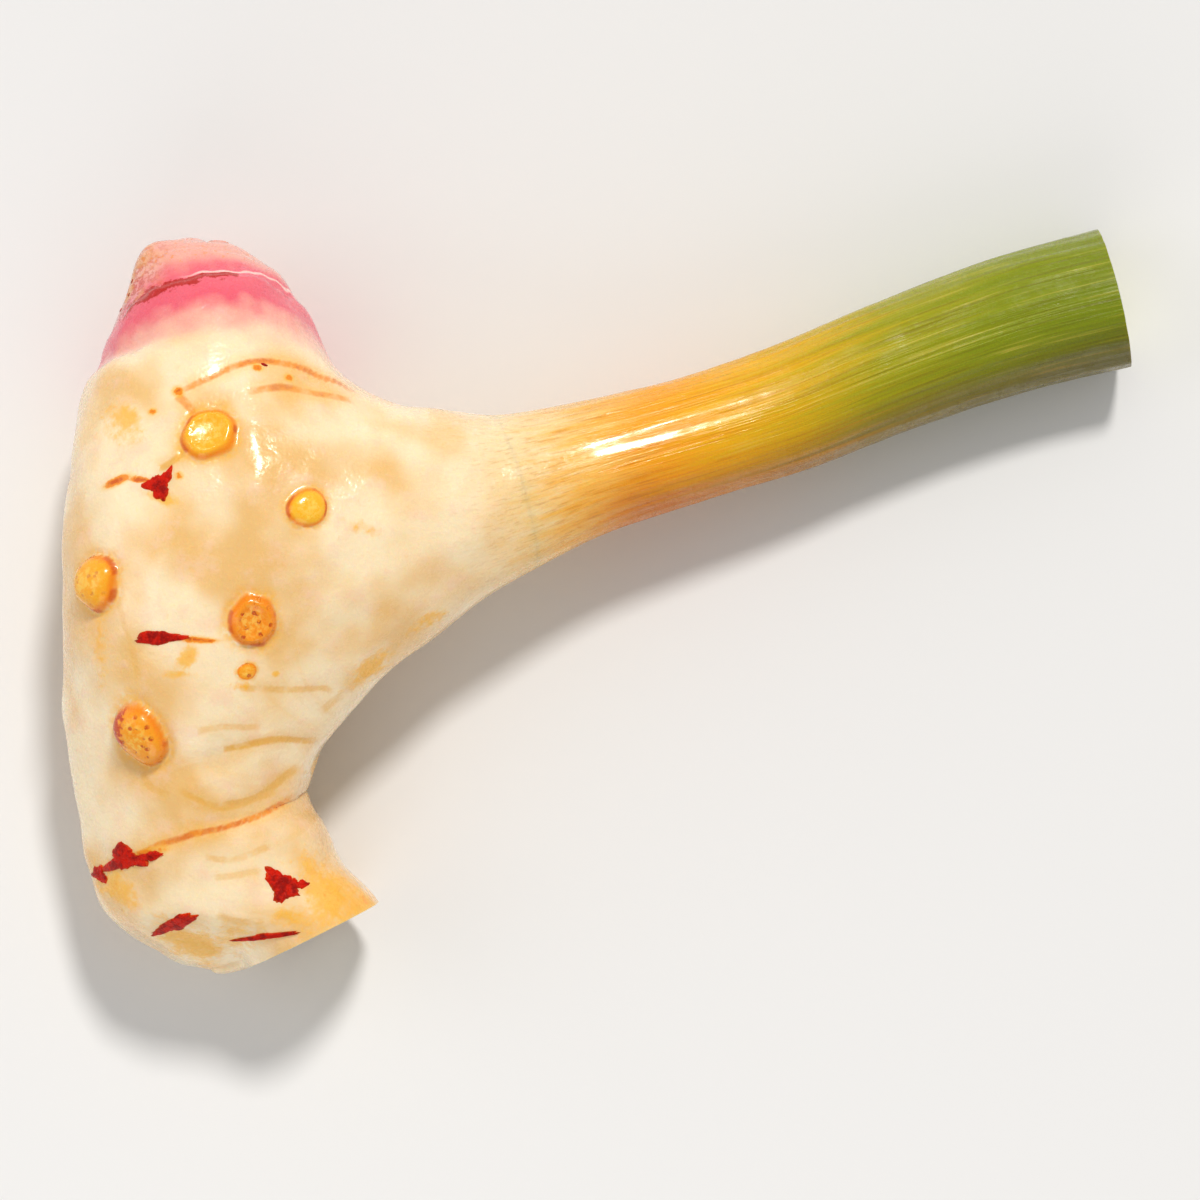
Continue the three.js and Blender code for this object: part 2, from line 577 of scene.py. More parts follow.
@dataclass(frozen=True)
class NodeLine:
    """The line that a lost scale leaves around the rhizome.

    Attributes:
        along: How far from the bud's tip, in millimetres, on the sides of the rhizome.
        lean: How much nearer to the tip it runs at the angle it leans to, in millimetres.
        towards: That angle, in degrees, with 0 on the stem's side and 90 on top.
        strength: How plain it is, from 0 to 1.
        step: How far the skin drops on the tip's side, in millimetres.
        gap: The angle, in degrees, in the middle of the stretch where the line has faded.
        gap_half: Half the width of that stretch, in degrees.
    """

    along: float
    lean: float
    towards: float
    strength: float = 1.0
    step: float = 0.12
    gap: float = 180.0
    gap_half: float = 0.0

    def offset(self, body: Located) -> Array:
        """Measure how far points lie from the line, positive away from the tip."""
        turned = body.angle - math.radians(self.towards)
        return body.along - (self.along - self.lean * np.cos(turned))

    def shown(self, body: Located) -> Array:
        """Tell how plain the line is at each point's angle.

        Args:
            body: Where the points lie along the rhizome.

        Returns:
            How plain it is, from 0 to 1.
        """
        apart = np.abs(np.angle(np.exp(1j * (body.angle - math.radians(self.gap)))))
        half = math.radians(self.gap_half)
        return self.strength * smooth_step(half - 0.12, half + 0.12, apart)


@dataclass(frozen=True)
class Stain:
    """A soft patch of colour on the skin.

    Attributes:
        x: Where it is, across the floor, in millimetres.
        y: Where it is, along the rhizome, in millimetres.
        length: Its length in millimetres.
        width: Its width in millimetres.
        turn: The direction of its length, in degrees from +X.
        strength: How strong it is, from 0 to 1.
        rusty: Whether it is rusty orange instead of yellow.
        below: Whether it is on the underside.
    """

    x: float
    y: float
    length: float
    width: float
    turn: float = 0.0
    strength: float = 0.8
    rusty: bool = False
    below: bool = False

    def amount(self, points: Array) -> Array:
        """Measure how stained points are.

        Args:
            points: The points, in millimetres.

        Returns:
            How stained each point is, from 0 to 1.
        """
        aim = math.radians(self.turn)
        x = points[:, 0] - self.x
        y = points[:, 1] - self.y
        length = (x * math.cos(aim) + y * math.sin(aim)) / (self.length / 2)
        width = (y * math.cos(aim) - x * math.sin(aim)) / (self.width / 2)
        side = points[:, 2] < 11.0 if self.below else points[:, 2] >= 9.0
        return self.strength * bump(np.hypot(length, width), 0.85) * side


class LineTone(Enum):
    """What a line on the skin looks like: a fold is painted as shade, a node line in orange."""

    FOLD = 0.0
    NODE = 1.0


@dataclass(frozen=True)
class Crease:
    """A line pressed into the upper skin.

    Attributes:
        points: Places along it, across the floor, in millimetres.
        strength: How plain it is, from 0 to 1.
        tone: Whether it is a fold or part of a node line.
    """

    points: tuple[tuple[float, float], ...]
    strength: float = 1.0
    tone: LineTone = LineTone.FOLD

    def trace(self, points: Array) -> tuple[Array, Array]:
        """Measure the distance to the line, and how much of it shows.

        Args:
            points: The points, in millimetres.

        Returns:
            The distance in millimetres, and how much shows, from 0 to 1.
        """
        share = np.linspace(0.0, 1.0, 41)
        knots = np.linspace(0.0, 1.0, len(self.points))
        line = np.stack([np.interp(share, knots, axis) for axis in zip(*self.points)], axis=1)
        for _ in range(30):
            line[1:-1] = (line[:-2] + 2.0 * line[1:-1] + line[2:]) / 4.0
        gap = ((points[:, None, :2] - line[None]) ** 2).sum(axis=2)
        nearest = gap.argmin(axis=1)
        ends = np.sin(math.pi * share[nearest])
        shown = self.strength * smooth_step(0.0, 0.4, ends) * (points[:, 2] > 8.0)
        return np.sqrt(gap[np.arange(len(points)), nearest]), shown


BUD_EDGE = NodeLine(along=11.0, lean=3.6, towards=98, step=0.22)
NODE_LINES = (
    NodeLine(28.2, lean=6.0, towards=55, strength=0.9, step=0.12, gap=60, gap_half=105),
    NodeLine(71.3, lean=7.2, towards=0, strength=0.9, step=0.12, gap=70, gap_half=100),
)
ROOT_SCARS = (
    RootScar(-44.6, 19.4, 2.9, 0.7, tint=0.12, stretch=1.1, turn=40),
    RootScar(-33.3, 10.8, 2.1, 0.9, ScarKind.DOMED, tint=0.0, stretch=1.12, turn=10),
    RootScar(-57.6, 2.2, 3.1, 1.9, ScarKind.DOMED, tint=0.35, flush=0.25),
    RootScar(-39.5, -2.2, 2.8, 0.75, tint=0.8, stretch=1.06, turn=60),
    RootScar(-52.7, -15.2, 3.0, 2.1, ScarKind.DOMED, tint=0.6, stretch=1.3, turn=118, flush=1.0),
    RootScar(-40.2, -8.0, 0.95, 0.25, ScarKind.DOMED, tint=0.5, stretch=1.4),
    RootScar(-56.0, 21.0, 2.6, 0.6, tint=0.3, below=True),
    RootScar(-45.0, 8.0, 3.1, 0.8, tint=0.6, below=True),
    RootScar(-54.0, -3.0, 2.8, 1.0, ScarKind.DOMED, tint=0.5, below=True),
    RootScar(-38.0, -9.0, 2.7, 0.7, tint=0.4, below=True),
    RootScar(-57.0, -22.0, 2.4, 0.8, ScarKind.DOMED, tint=0.8, below=True),
    RootScar(-37.0, 27.0, 2.2, 0.6, tint=0.2, below=True),
)
STAINS_AND_ARMPIT_SHADE = (
    Stain(-54.9, 20.6, 5.0, 6.0, 80, 0.9),
    Stain(-51.2, 22.0, 0.9, 1.2, 80, 1.0, rusty=True),
    Stain(-48.3, 24.3, 1.4, 1.6, 60, 1.0, rusty=True),
    Stain(-48.0, 14.6, 1.0, 1.2, 60, 0.9, rusty=True),
    Stain(-55.2, 13.9, 4.2, 1.2, 24, 0.95, rusty=True),
    Stain(-52.6, 14.2, 4.0, 0.8, -6, 0.75, rusty=True),
    Stain(-49.8, 12.0, 4.8, 2.0, -22, 0.95),
    Stain(-39.2, 27.2, 1.6, 1.0, -20, 0.9, rusty=True),
    Stain(-35.6, 26.1, 1.4, 0.9, -20, 0.9, rusty=True),
    Stain(-45.6, -4.3, 5.4, 0.8, -4, 1.0, rusty=True),
    Stain(-46.9, -6.4, 4.0, 2.2, 55, 1.0),
    Stain(-47.8, -8.2, 4.4, 1.6, 0, 0.8),
    Stain(-36.9, -8.4, 1.0, 1.0, 0, 0.8),
    Stain(-40.5, -9.8, 6.0, 1.6, -6, 0.4),
    Stain(-30.6, -34.6, 13.0, 8.0, 28, 0.8),
    Stain(-28.0, -35.6, 5.0, 3.0, 28, 1.0),
    Stain(-35.5, -36.4, 6.0, 3.0, 10, 0.85),
    Stain(-33.2, -31.0, 5.0, 8.0, 60, 0.6),
    Stain(-41.6, -38.8, 10.0, 5.0, 10, 0.6),
    Stain(-47.6, -39.6, 12.0, 5.0, -26, 0.9),
    Stain(-56.4, -33.0, 8.0, 5.0, -50, 0.75),
    Stain(-51.6, -29.0, 5.4, 1.3, 14, 0.8, rusty=True),
    # These two run along the armpit under the stem: painted yellow shade, not stains.
    Stain(-26.3, -7.5, 9.0, 2.6, 38, 0.75),
    Stain(-19.5, -2.3, 8.0, 2.2, 30, 0.55),
    Stain(-33.0, -19.0, 2.2, 6.0, -20, 0.6),
    Stain(-57.0, -6.0, 4.0, 22.0, 4, 0.3),
    Stain(-27.0, 8.6, 7.0, 3.0, -30, 0.3),
    Stain(-50.0, 14.0, 13.0, 11.0, 0, 0.6, below=True),
    Stain(-44.0, -16.0, 15.0, 12.0, 20, 0.65, below=True),
    Stain(-52.0, -34.0, 12.0, 11.0, 0, 0.8, below=True),
    Stain(-30.0, 10.0, 13.0, 9.0, 30, 0.5, below=True),
)
CREASES = (
    Crease(
        ((-48.5, 24.0), (-45.6, 25.6), (-42.2, 27.4), (-39.2, 28.3), (-36.0, 28.0), (-31.8, 26.6),
         (-27.2, 24.0)),
        tone=LineTone.NODE,
    ),
    Crease(((-40.5, 24.4), (-37.6, 25.0), (-32.8, 24.6), (-27.8, 23.2)), 0.8, LineTone.NODE),
    Crease(
        ((-57.6, -30.9), (-53.2, -29.3), (-50.4, -28.4), (-47.6, -26.9), (-44.2, -26.5),
         (-41.1, -26.0), (-37.8, -24.3), (-34.6, -22.2)),
        tone=LineTone.NODE,
    ),
    Crease(((-46.5, -14.9), (-42.2, -14.2), (-38.5, -14.6)), 0.5),
    Crease(((-43.6, -17.2), (-38.2, -16.0), (-32.4, -16.0))),
    Crease(((-48.8, -21.5), (-43.3, -24.2), (-36.6, -21.9)), 0.7),
    Crease(((-43.8, -23.9), (-38.6, -22.7), (-34.6, -18.8)), 0.8),
    Crease(((-41.5, -9.9), (-36.0, -10.3), (-30.2, -10.2)), 0.6),
    Crease(((-32.6, -13.2), (-29.0, -10.2), (-25.2, -6.6)), 0.5),
    Crease(((-44.4, -36.4), (-41.0, -37.2), (-38.4, -36.9)), 0.6),
    Crease(((-45.6, -29.6), (-41.4, -30.0), (-37.4, -28.2)), 0.5),
    Crease(((-44.6, -32.0), (-41.4, -31.8), (-39.0, -31.4)), 0.4),
    Crease(((-50.6, 15.2), (-47.6, 17.0), (-46.6, 19.8)), 0.9),
    Crease(((-48.4, 24.0), (-47.4, 23.0), (-46.2, 21.6)), 0.8, LineTone.NODE),
    Crease(((-55.5, 1.0), (-53.6, -4.0), (-52.6, -9.6)), 0.3),
    Crease(((-52.6, -19.6), (-51.4, -21.6), (-49.4, -22.6)), 0.4),
)
FOLD_CENTRE = (-27.0, -18.5)


@dataclass
class SkinMarks:
    """Raises the skin's detail and records where its colours go.

    Attributes:
        skin: The skin to work on.
    """

    skin: Skin
    masks: dict[str, Array] = field(default_factory=dict)

    def build(self) -> None:
        """Raise all the detail, then settle the root onto the floor."""
        tree = BVHTree.FromPolygons(self.skin.points.tolist(), self.skin.faces)
        smooth = self.skin.points.copy()
        height = self._swellings(smooth)
        height += self._bud(smooth)
        height += self._nodes(smooth)
        height += self._scars(smooth, tree)
        height += self._folds(smooth)
        height += self._creases(smooth)
        height += self._ribs()
        self._stains(smooth)
        self.masks["skin_mm"] = smooth
        self.skin.points = self._settled(smooth + self.skin.normals * height[:, None])

    def _on_stem(self) -> Array:
        """Tell how much of each point belongs to the stem, from 0 to 1."""
        neck = STEM_SWEEP.arc[int(NECK_SHARE * (Sweep.SAMPLES - 1))]
        return smooth_step(-10.0, 4.0, self.skin.stem.along - neck)

    def _swellings(self, points: Array) -> Array:
        """Raise broad, shallow swellings all over the rhizome.

        Args:
            points: The points, in millimetres.

        Returns:
            The height to add.
        """
        broad = 0.3 * ripple(points, 19.0, seed=3)
        fine = 0.11 * ripple(points, 6.5, seed=4)
        return (broad + fine) * (1.0 - 0.75 * self._on_stem())

    def _bud(self, points: Array) -> Array:
        """Lay the lower scale of the bud over the cap, with a torn edge.

        Args:
            points: The points, in millimetres.

        Returns:
            The height to add.
        """
        ragged = 0.35 * ripple(points, 2.6, seed=8)
        offset = BUD_EDGE.offset(self.skin.body) + ragged
        middle = np.abs(points[:, 0] + 48.5)
        self.masks["bud_torn"] = smooth_step(8.5, 4.5, middle) * (points[:, 2] > 10.0)
        self.masks["bud_mm"] = np.where(self.skin.body.distance < 3.0, offset, 30.0)
        over = smooth_step(-0.25, 0.3, offset) * smooth_step(16.0, 2.0, offset)
        second = BUD_EDGE.offset(self.skin.body) + 4.6 + 0.5 * ripple(points, 4.0, seed=9)
        cap = 0.12 * smooth_step(-0.3, 0.3, second) * smooth_step(6.0, 1.0, second)
        return BUD_EDGE.step * over + cap

    def _nodes(self, points: Array) -> Array:
        """Cut the node lines, and note the distance to the nearest one.

        Args:
            points: The points, in millimetres.

        Returns:
            The height to add.
        """
        height = np.zeros(len(points))
        nearest = np.full(len(points), 9.0)
        strength = np.zeros(len(points))
        apart = smooth_step(0.5, 3.5, self.skin.stem.distance)
        for k, line in enumerate(NODE_LINES):
            offset = line.offset(self.skin.body) + 0.5 * ripple(points, 7.0, seed=20 + k)
            drop = smooth_step(-0.4, 0.4, offset) * smooth_step(7.0, 1.0, offset)
            groove = 0.1 * bump(offset, 0.35)
            shown = line.shown(self.skin.body)
            height += (line.step * drop - groove) * shown * apart
            closer = np.abs(offset) < np.abs(nearest)
            nearest = np.where(closer, offset, nearest)
            strength = np.where(closer, shown, strength)
        self.masks["node_mm"] = np.where(apart > 0.5, nearest, 9.0)
        self.masks["node_strength"] = strength * apart
        return height

    def _spot(self, tree: BVHTree, x: float, y: float, below: bool) -> Array:
        """Find the skin straight above or below a place on the floor.

        Args:
            tree: The skin, ready for rays.
            x: Across the floor, in millimetres.
            y: Along the rhizome, in millimetres.
            below: Whether to look from under the floor.

        Returns:
            The place on the skin.
        """
        start = Vector((x, y, -50.0 if below else 80.0))
        down = Vector((0.0, 0.0, 1.0 if below else -1.0))
        place = tree.ray_cast(start, down)[0]
        return np.array(place)

    def _scars(self, points: Array, tree: BVHTree) -> Array:
        """Raise the stubs of the trimmed roots.

        Args:
            points: The points, in millimetres.
            tree: The skin, ready for rays.

        Returns:
            The height to add.
        """
        height = np.zeros(len(points))
        nearest = np.full(len(points), 4.0)
        tint = np.zeros(len(points))
        flush = np.zeros(len(points))
        for k, scar in enumerate(ROOT_SCARS):
            away = points - self._spot(tree, scar.x, scar.y, scar.below)
            radius = scar.reach(away) / (1.0 + 0.07 * ripple(points, 3.5, seed=40 + k))
            if scar.kind is ScarKind.DOMED:
                top = np.sqrt(np.clip(1.0 - (radius / 1.02) ** 2, 0.0, 1.0))
                shape = scar.rise * smooth_step(-0.1, 1.1, top)
            else:
                disc = smooth_step(1.12, 0.7, radius)
                rim = 0.4 * bump(radius - 0.76, 0.14)
                dish = -0.22 * bump(radius, 0.5)
                shape = scar.rise * disc * (1.0 + rim + dish)
            height += shape - 0.12 * bump(radius - 1.16, 0.12)
            closer = radius < nearest
            nearest = np.where(closer, radius, nearest)
            tint = np.where(closer, scar.tint, tint)
            side = smooth_step(0.1 * scar.radius, -0.7 * scar.radius, away[:, 0])
            flush = np.where(closer, scar.flush * side, flush)
        self.masks["scar"] = nearest
        self.masks["scar_tint"] = tint
        self.masks["scar_flush"] = flush
        return height

    def _folds(self, points: Array) -> Array:
        """Press in the fine folds that fan out from the armpit below the stem.

        Args:
            points: The points, in millimetres.

        Returns:
            The height to add.
        """
        x = points[:, 0] - FOLD_CENTRE[0]
        y = points[:, 1] - FOLD_CENTRE[1]
        reach = np.hypot(x, y)
        turn = np.arctan2(y, -x)
        bend = turn + 0.012 * reach * np.sin(reach * 0.16 + 0.8)
        fan = np.stack([bend * 9.0, reach * 0.055, 0 * reach], axis=1)
        shown = smooth_step(27.0, 12.0, reach) * smooth_step(1.9, 1.0, np.abs(turn))
        # These masks also place the painted shade of the folds in the skin's shader.
        self.masks["fold_at"] = fan
        self.masks["fold_shown"] = shown
        return 0.035 * ripple(fan, 3.0, seed=61) * shown

    def _creases(self, points: Array) -> Array:
        """Press in the separate folds, and note the distance to the nearest one.

        Args:
            points: The points, in millimetres.

        Returns:
            The height to add.
        """
        height = np.zeros(len(points))
        nearest = np.full(len(points), 9.0)
        strength = np.zeros(len(points))
        tone = np.zeros(len(points))
        for k, crease in enumerate(CREASES):
            offset, shown = crease.trace(points + 0.14 * ripple(points, 5.0, seed=80 + k)[:, None])
            height -= 0.08 * shown * bump(offset, 0.5)
            closer = (offset < nearest) & (shown > 0)
            nearest = np.where(closer, offset, nearest)
            strength = np.where(closer, shown, strength)
            tone = np.where(closer, crease.tone.value, tone)
        # crease_tone also tells the shader to paint shade along a fold and node colours along a node
        # line.
        self.masks["crease_mm"] = nearest
        self.masks["crease_tone"] = tone
        self.masks["crease_shown"] = strength
        return height

    def _ribs(self) -> Array:
        """Raise the stem's fine ribs and the free edge of its outer sheath.

        Returns:
            The height to add.
        """
        stem = self.skin.stem
        neck = STEM_SWEEP.arc[int(NECK_SHARE * (Sweep.SAMPLES - 1))]
        past = stem.along - neck
        self.masks["stem_mm"] = past
        self.masks["stem_at"] = np.stack([stem.across, stem.rise, past * 0.016], axis=1)
        shown = smooth_step(-6.0, 16.0, past)
        round_it = np.stack([np.cos(stem.angle), np.sin(stem.angle), past * 0.004], axis=1)
        ribs = 0.075 * ripple(round_it, 0.2, seed=70) + 0.05 * ripple(round_it, 0.5, seed=71)
        edge = np.angle(np.exp(1j * (stem.angle + 0.95 - past * 0.006)))
        sheath = 0.22 * smooth_step(-0.03, 0.03, edge) * smooth_step(1.3, 0.2, edge)
        self.masks["sheath_edge"] = edge
        return (ribs + sheath * smooth_step(4.0, 30.0, past)) * shown

    def _stains(self, points: Array) -> None:
        """Record how stained each point is, counting the painted shade along the armpit.

        Args:
            points: The points, in millimetres.
        """
        for name, rusty in (("stain_and_armpit_shade", False), ("rust", True)):
            amount = np.zeros(len(points))
            for stain_and_armpit_shade in STAINS_AND_ARMPIT_SHADE:
                if stain_and_armpit_shade.rusty is rusty:
                    amount = np.maximum(amount, stain_and_armpit_shade.amount(points))
            self.masks[name] = amount

    @staticmethod
    def _settled(points: Array) -> Array:
        """Press the underside flat where it meets the floor.

        Args:
            points: The points, in millimetres.

        Returns:
            The settled points.
        """
        rest = 0.35
        lifted = points.copy()
        lifted[:, 2] = 0.5 * (points[:, 2] + np.sqrt(points[:, 2] ** 2 + rest**2))
        lifted[:, 2] -= lifted[:, 2].min()
        return lifted


# ------------------------------
# Shader building
# ------------------------------

Value = Union["Signal", float]


class Signal:
    """An output socket that can be added, multiplied and compared like a number."""

    def __init__(self, graph: "Graph", socket: bpy.types.NodeSocket) -> None:
        """Wrap a socket of a graph."""
        self.graph = graph
        self.socket = socket

    def _math(self, operation: str, *others: Value, clamp: bool = False) -> "Signal":
        """Add a Math node whose first input is this signal."""
        return self.graph.math(operation, self, *others, clamp=clamp)

    def __add__(self, other: Value) -> "Signal":
        """Add a signal or a number."""
        return self._math("ADD", other)

    __radd__ = __add__

    def __sub__(self, other: Value) -> "Signal":
        """Take away a signal or a number."""
        return self._math("SUBTRACT", other)

    def __rsub__(self, other: Value) -> "Signal":
        """Take this from a number."""
        return self.graph.math("SUBTRACT", other, self)

    def __mul__(self, other: Value) -> "Signal":
        """Multiply by a signal or a number."""
        return self._math("MULTIPLY", other)

    __rmul__ = __mul__

    def __truediv__(self, other: Value) -> "Signal":
        """Divide by a signal or a number."""
        return self._math("DIVIDE", other)

    def __abs__(self) -> "Signal":
        """Drop the sign."""
        return self._math("ABSOLUTE")

    def __neg__(self) -> "Signal":
        """Turn the sign round."""
        return self._math("MULTIPLY", -1.0)

    def rise(self, low: float, high: float) -> "Signal":
        """Go smoothly from 0 at low to 1 at high; low may be above high.

        Args:
            low: The value that gives 0.
            high: The value that gives 1.

        Returns:
            The new signal.
        """
        node = self.graph.node(
            "ShaderNodeMapRange",
            {"interpolation_type": "SMOOTHSTEP"},
            {"Value": self, "From Min": low, "From Max": high, "To Min": 0.0, "To Max": 1.0},
        )
        return Signal(self.graph, node.outputs["Result"])

    def spread(self, low: float, high: float) -> "Signal":
        """Stretch 0 to 1 out to low to high, held at the ends.

        Args:
            low: What 0 becomes.
            high: What 1 becomes.

        Returns:
            The new signal.
        """
        node = self.graph.node(
            "ShaderNodeMapRange",
            {"clamp": True},
            {"Value": self, "From Min": 0.0, "From Max": 1.0, "To Min": low, "To Max": high},
        )
        return Signal(self.graph, node.outputs["Result"])


class Graph:
    """A material's node tree, written as expressions."""

    def __init__(self, name: str) -> None:
        """Start an empty material.

        Args:
            name: The material's name.
        """
        self.material = bpy.data.materials.new(name)
        self.material.use_nodes = True
        self.tree = self.material.node_tree
        self.tree.nodes.clear()

    def node(self, kind: str, settings: dict, inputs: dict) -> bpy.types.Node:
        """Add a node.

        Args:
            kind: The node's type.
            settings: Its properties, which are set first.
            inputs: Its inputs, by name or index: signals, numbers or colours.

        Returns:
            The new node.
        """
        made = self.tree.nodes.new(kind)
        for key, value in settings.items():
            setattr(made, key, value)
        for key, value in inputs.items():
            self._feed(made.inputs[key], value)
        return made

    def _feed(self, socket: bpy.types.NodeSocket, value: object) -> None:
        """Link a signal to an input, or set the input to a constant.

        Args:
            socket: The input.
            value: A signal or a constant.
        """
        if isinstance(value, Signal):
            self.tree.links.new(value.socket, socket)
        elif socket.type == "RGBA" and len(value) == 3:
            socket.default_value = (*value, 1.0)
        else:
            socket.default_value = value

    def math(self, operation: str, *values: Value, clamp: bool = False) -> Signal:
        """Add a Math node.

        Args:
            operation: What the node does.
            values: What it works on.
            clamp: Whether to hold the result between 0 and 1.

        Returns:
            The result.
        """
        inputs = dict(enumerate(values))
        made = self.node("ShaderNodeMath", {"operation": operation, "use_clamp": clamp}, inputs)
        return Signal(self, made.outputs[0])

    def attribute(self, name: str, vector: bool = False) -> Signal:
        """Read an attribute of the piece."""
        made = self.node("ShaderNodeAttribute", {"attribute_name": name}, {})
        return Signal(self, made.outputs["Vector" if vector else "Fac"])

    def split(self, vector: Signal) -> tuple[Signal, Signal, Signal]:
        """Take a vector apart."""
        made = self.node("ShaderNodeSeparateXYZ", {}, {"Vector": vector})
        return tuple(Signal(self, made.outputs[k]) for k in range(3))

    def noise(self, at: Signal, scale: float, detail: float = 2.0, rough: float = 0.5) -> Signal:
        """Sample noise, centred on 0.5.

        Args:
            at: Where to sample.
            scale: How fine it is, per millimetre.
            detail: How many finer layers it has.
            rough: How strong those layers are.

        Returns:
            The noise.
        """
        inputs = {"Vector": at, "Scale": scale, "Detail": detail, "Roughness": rough}
        made = self.node("ShaderNodeTexNoise", {}, inputs)
        return Signal(self, made.outputs["Fac"])

    def cells(self, at: Signal, scale: float) -> Signal:
        """Measure the distance to the nearest of many scattered points."""
        made = self.node("ShaderNodeTexVoronoi", {}, {"Vector": at, "Scale": scale})
        return Signal(self, made.outputs["Distance"])

    def mix(self, share: Value, start: object, end: object) -> Signal:
        """Mix two colours by a share."""
        made = self.node("ShaderNodeMix", {"data_type": "RGBA"}, {0: share, 6: start, 7: end})
        return Signal(self, made.outputs[2])

    def multiply(self, share: Value, start: object, end: object) -> Signal:
        """Tint one colour by another.

        Args:
            share: How much of the second.
            start: The first colour.
            end: The second colour.

        Returns:
            The colour.
        """
        settings = {"data_type": "RGBA", "blend_type": "MULTIPLY"}
        made = self.node("ShaderNodeMix", settings, {0: share, 6: start, 7: end})
        return Signal(self, made.outputs[2])

    def ramp(self, value: Signal, low: float, stops: Sequence[tuple[float, Colour]]) -> Signal:
        """Pick a colour by a value in millimetres.

        Args:
            value: The value.
            low: The value at the ramp's start.
            stops: The values of the colours, rising, with the last at the ramp's end.

        Returns:
            The colour.
        """
        span = stops[-1][0] - low
        made = self.node("ShaderNodeValToRGB", {}, {"Fac": (value - low) / span})
        ramp = made.color_ramp
        while len(ramp.elements) < len(stops):
            ramp.elements.new(0.5)
        for element, (position, colour) in zip(ramp.elements, stops):
            element.position = (position - low) / span
            element.color = (*colour, 1.0)
        return Signal(self, made.outputs["Color"])

    def bump(self, height: Signal, depth_mm: float) -> Signal:
        """Turn a height into a normal.

        Args:
            height: The height.
            depth_mm: The depth of a height of 1, in millimetres.

        Returns:
            The normal.
        """
        inputs = {"Height": height, "Distance": depth_mm * MM, "Strength": 1.0}
        made = self.node("ShaderNodeBump", {}, inputs)
        return Signal(self, made.outputs["Normal"])

    def finish(self, varied: dict, constant: dict) -> bpy.types.Material:
        """Close the graph with its surface shader.

        Args:
            varied: Inputs of the shader that vary over the surface.
            constant: Inputs that are the same all over.

        Returns:
            The finished material.
        """
        shader = self.node("ShaderNodeBsdfPrincipled", {}, {**constant, **varied})
        output = self.node("ShaderNodeOutputMaterial", {}, {})
        self.tree.links.new(shader.outputs["BSDF"], output.inputs["Surface"])
        return self.material


# ------------------------------
# Finishes
# ------------------------------


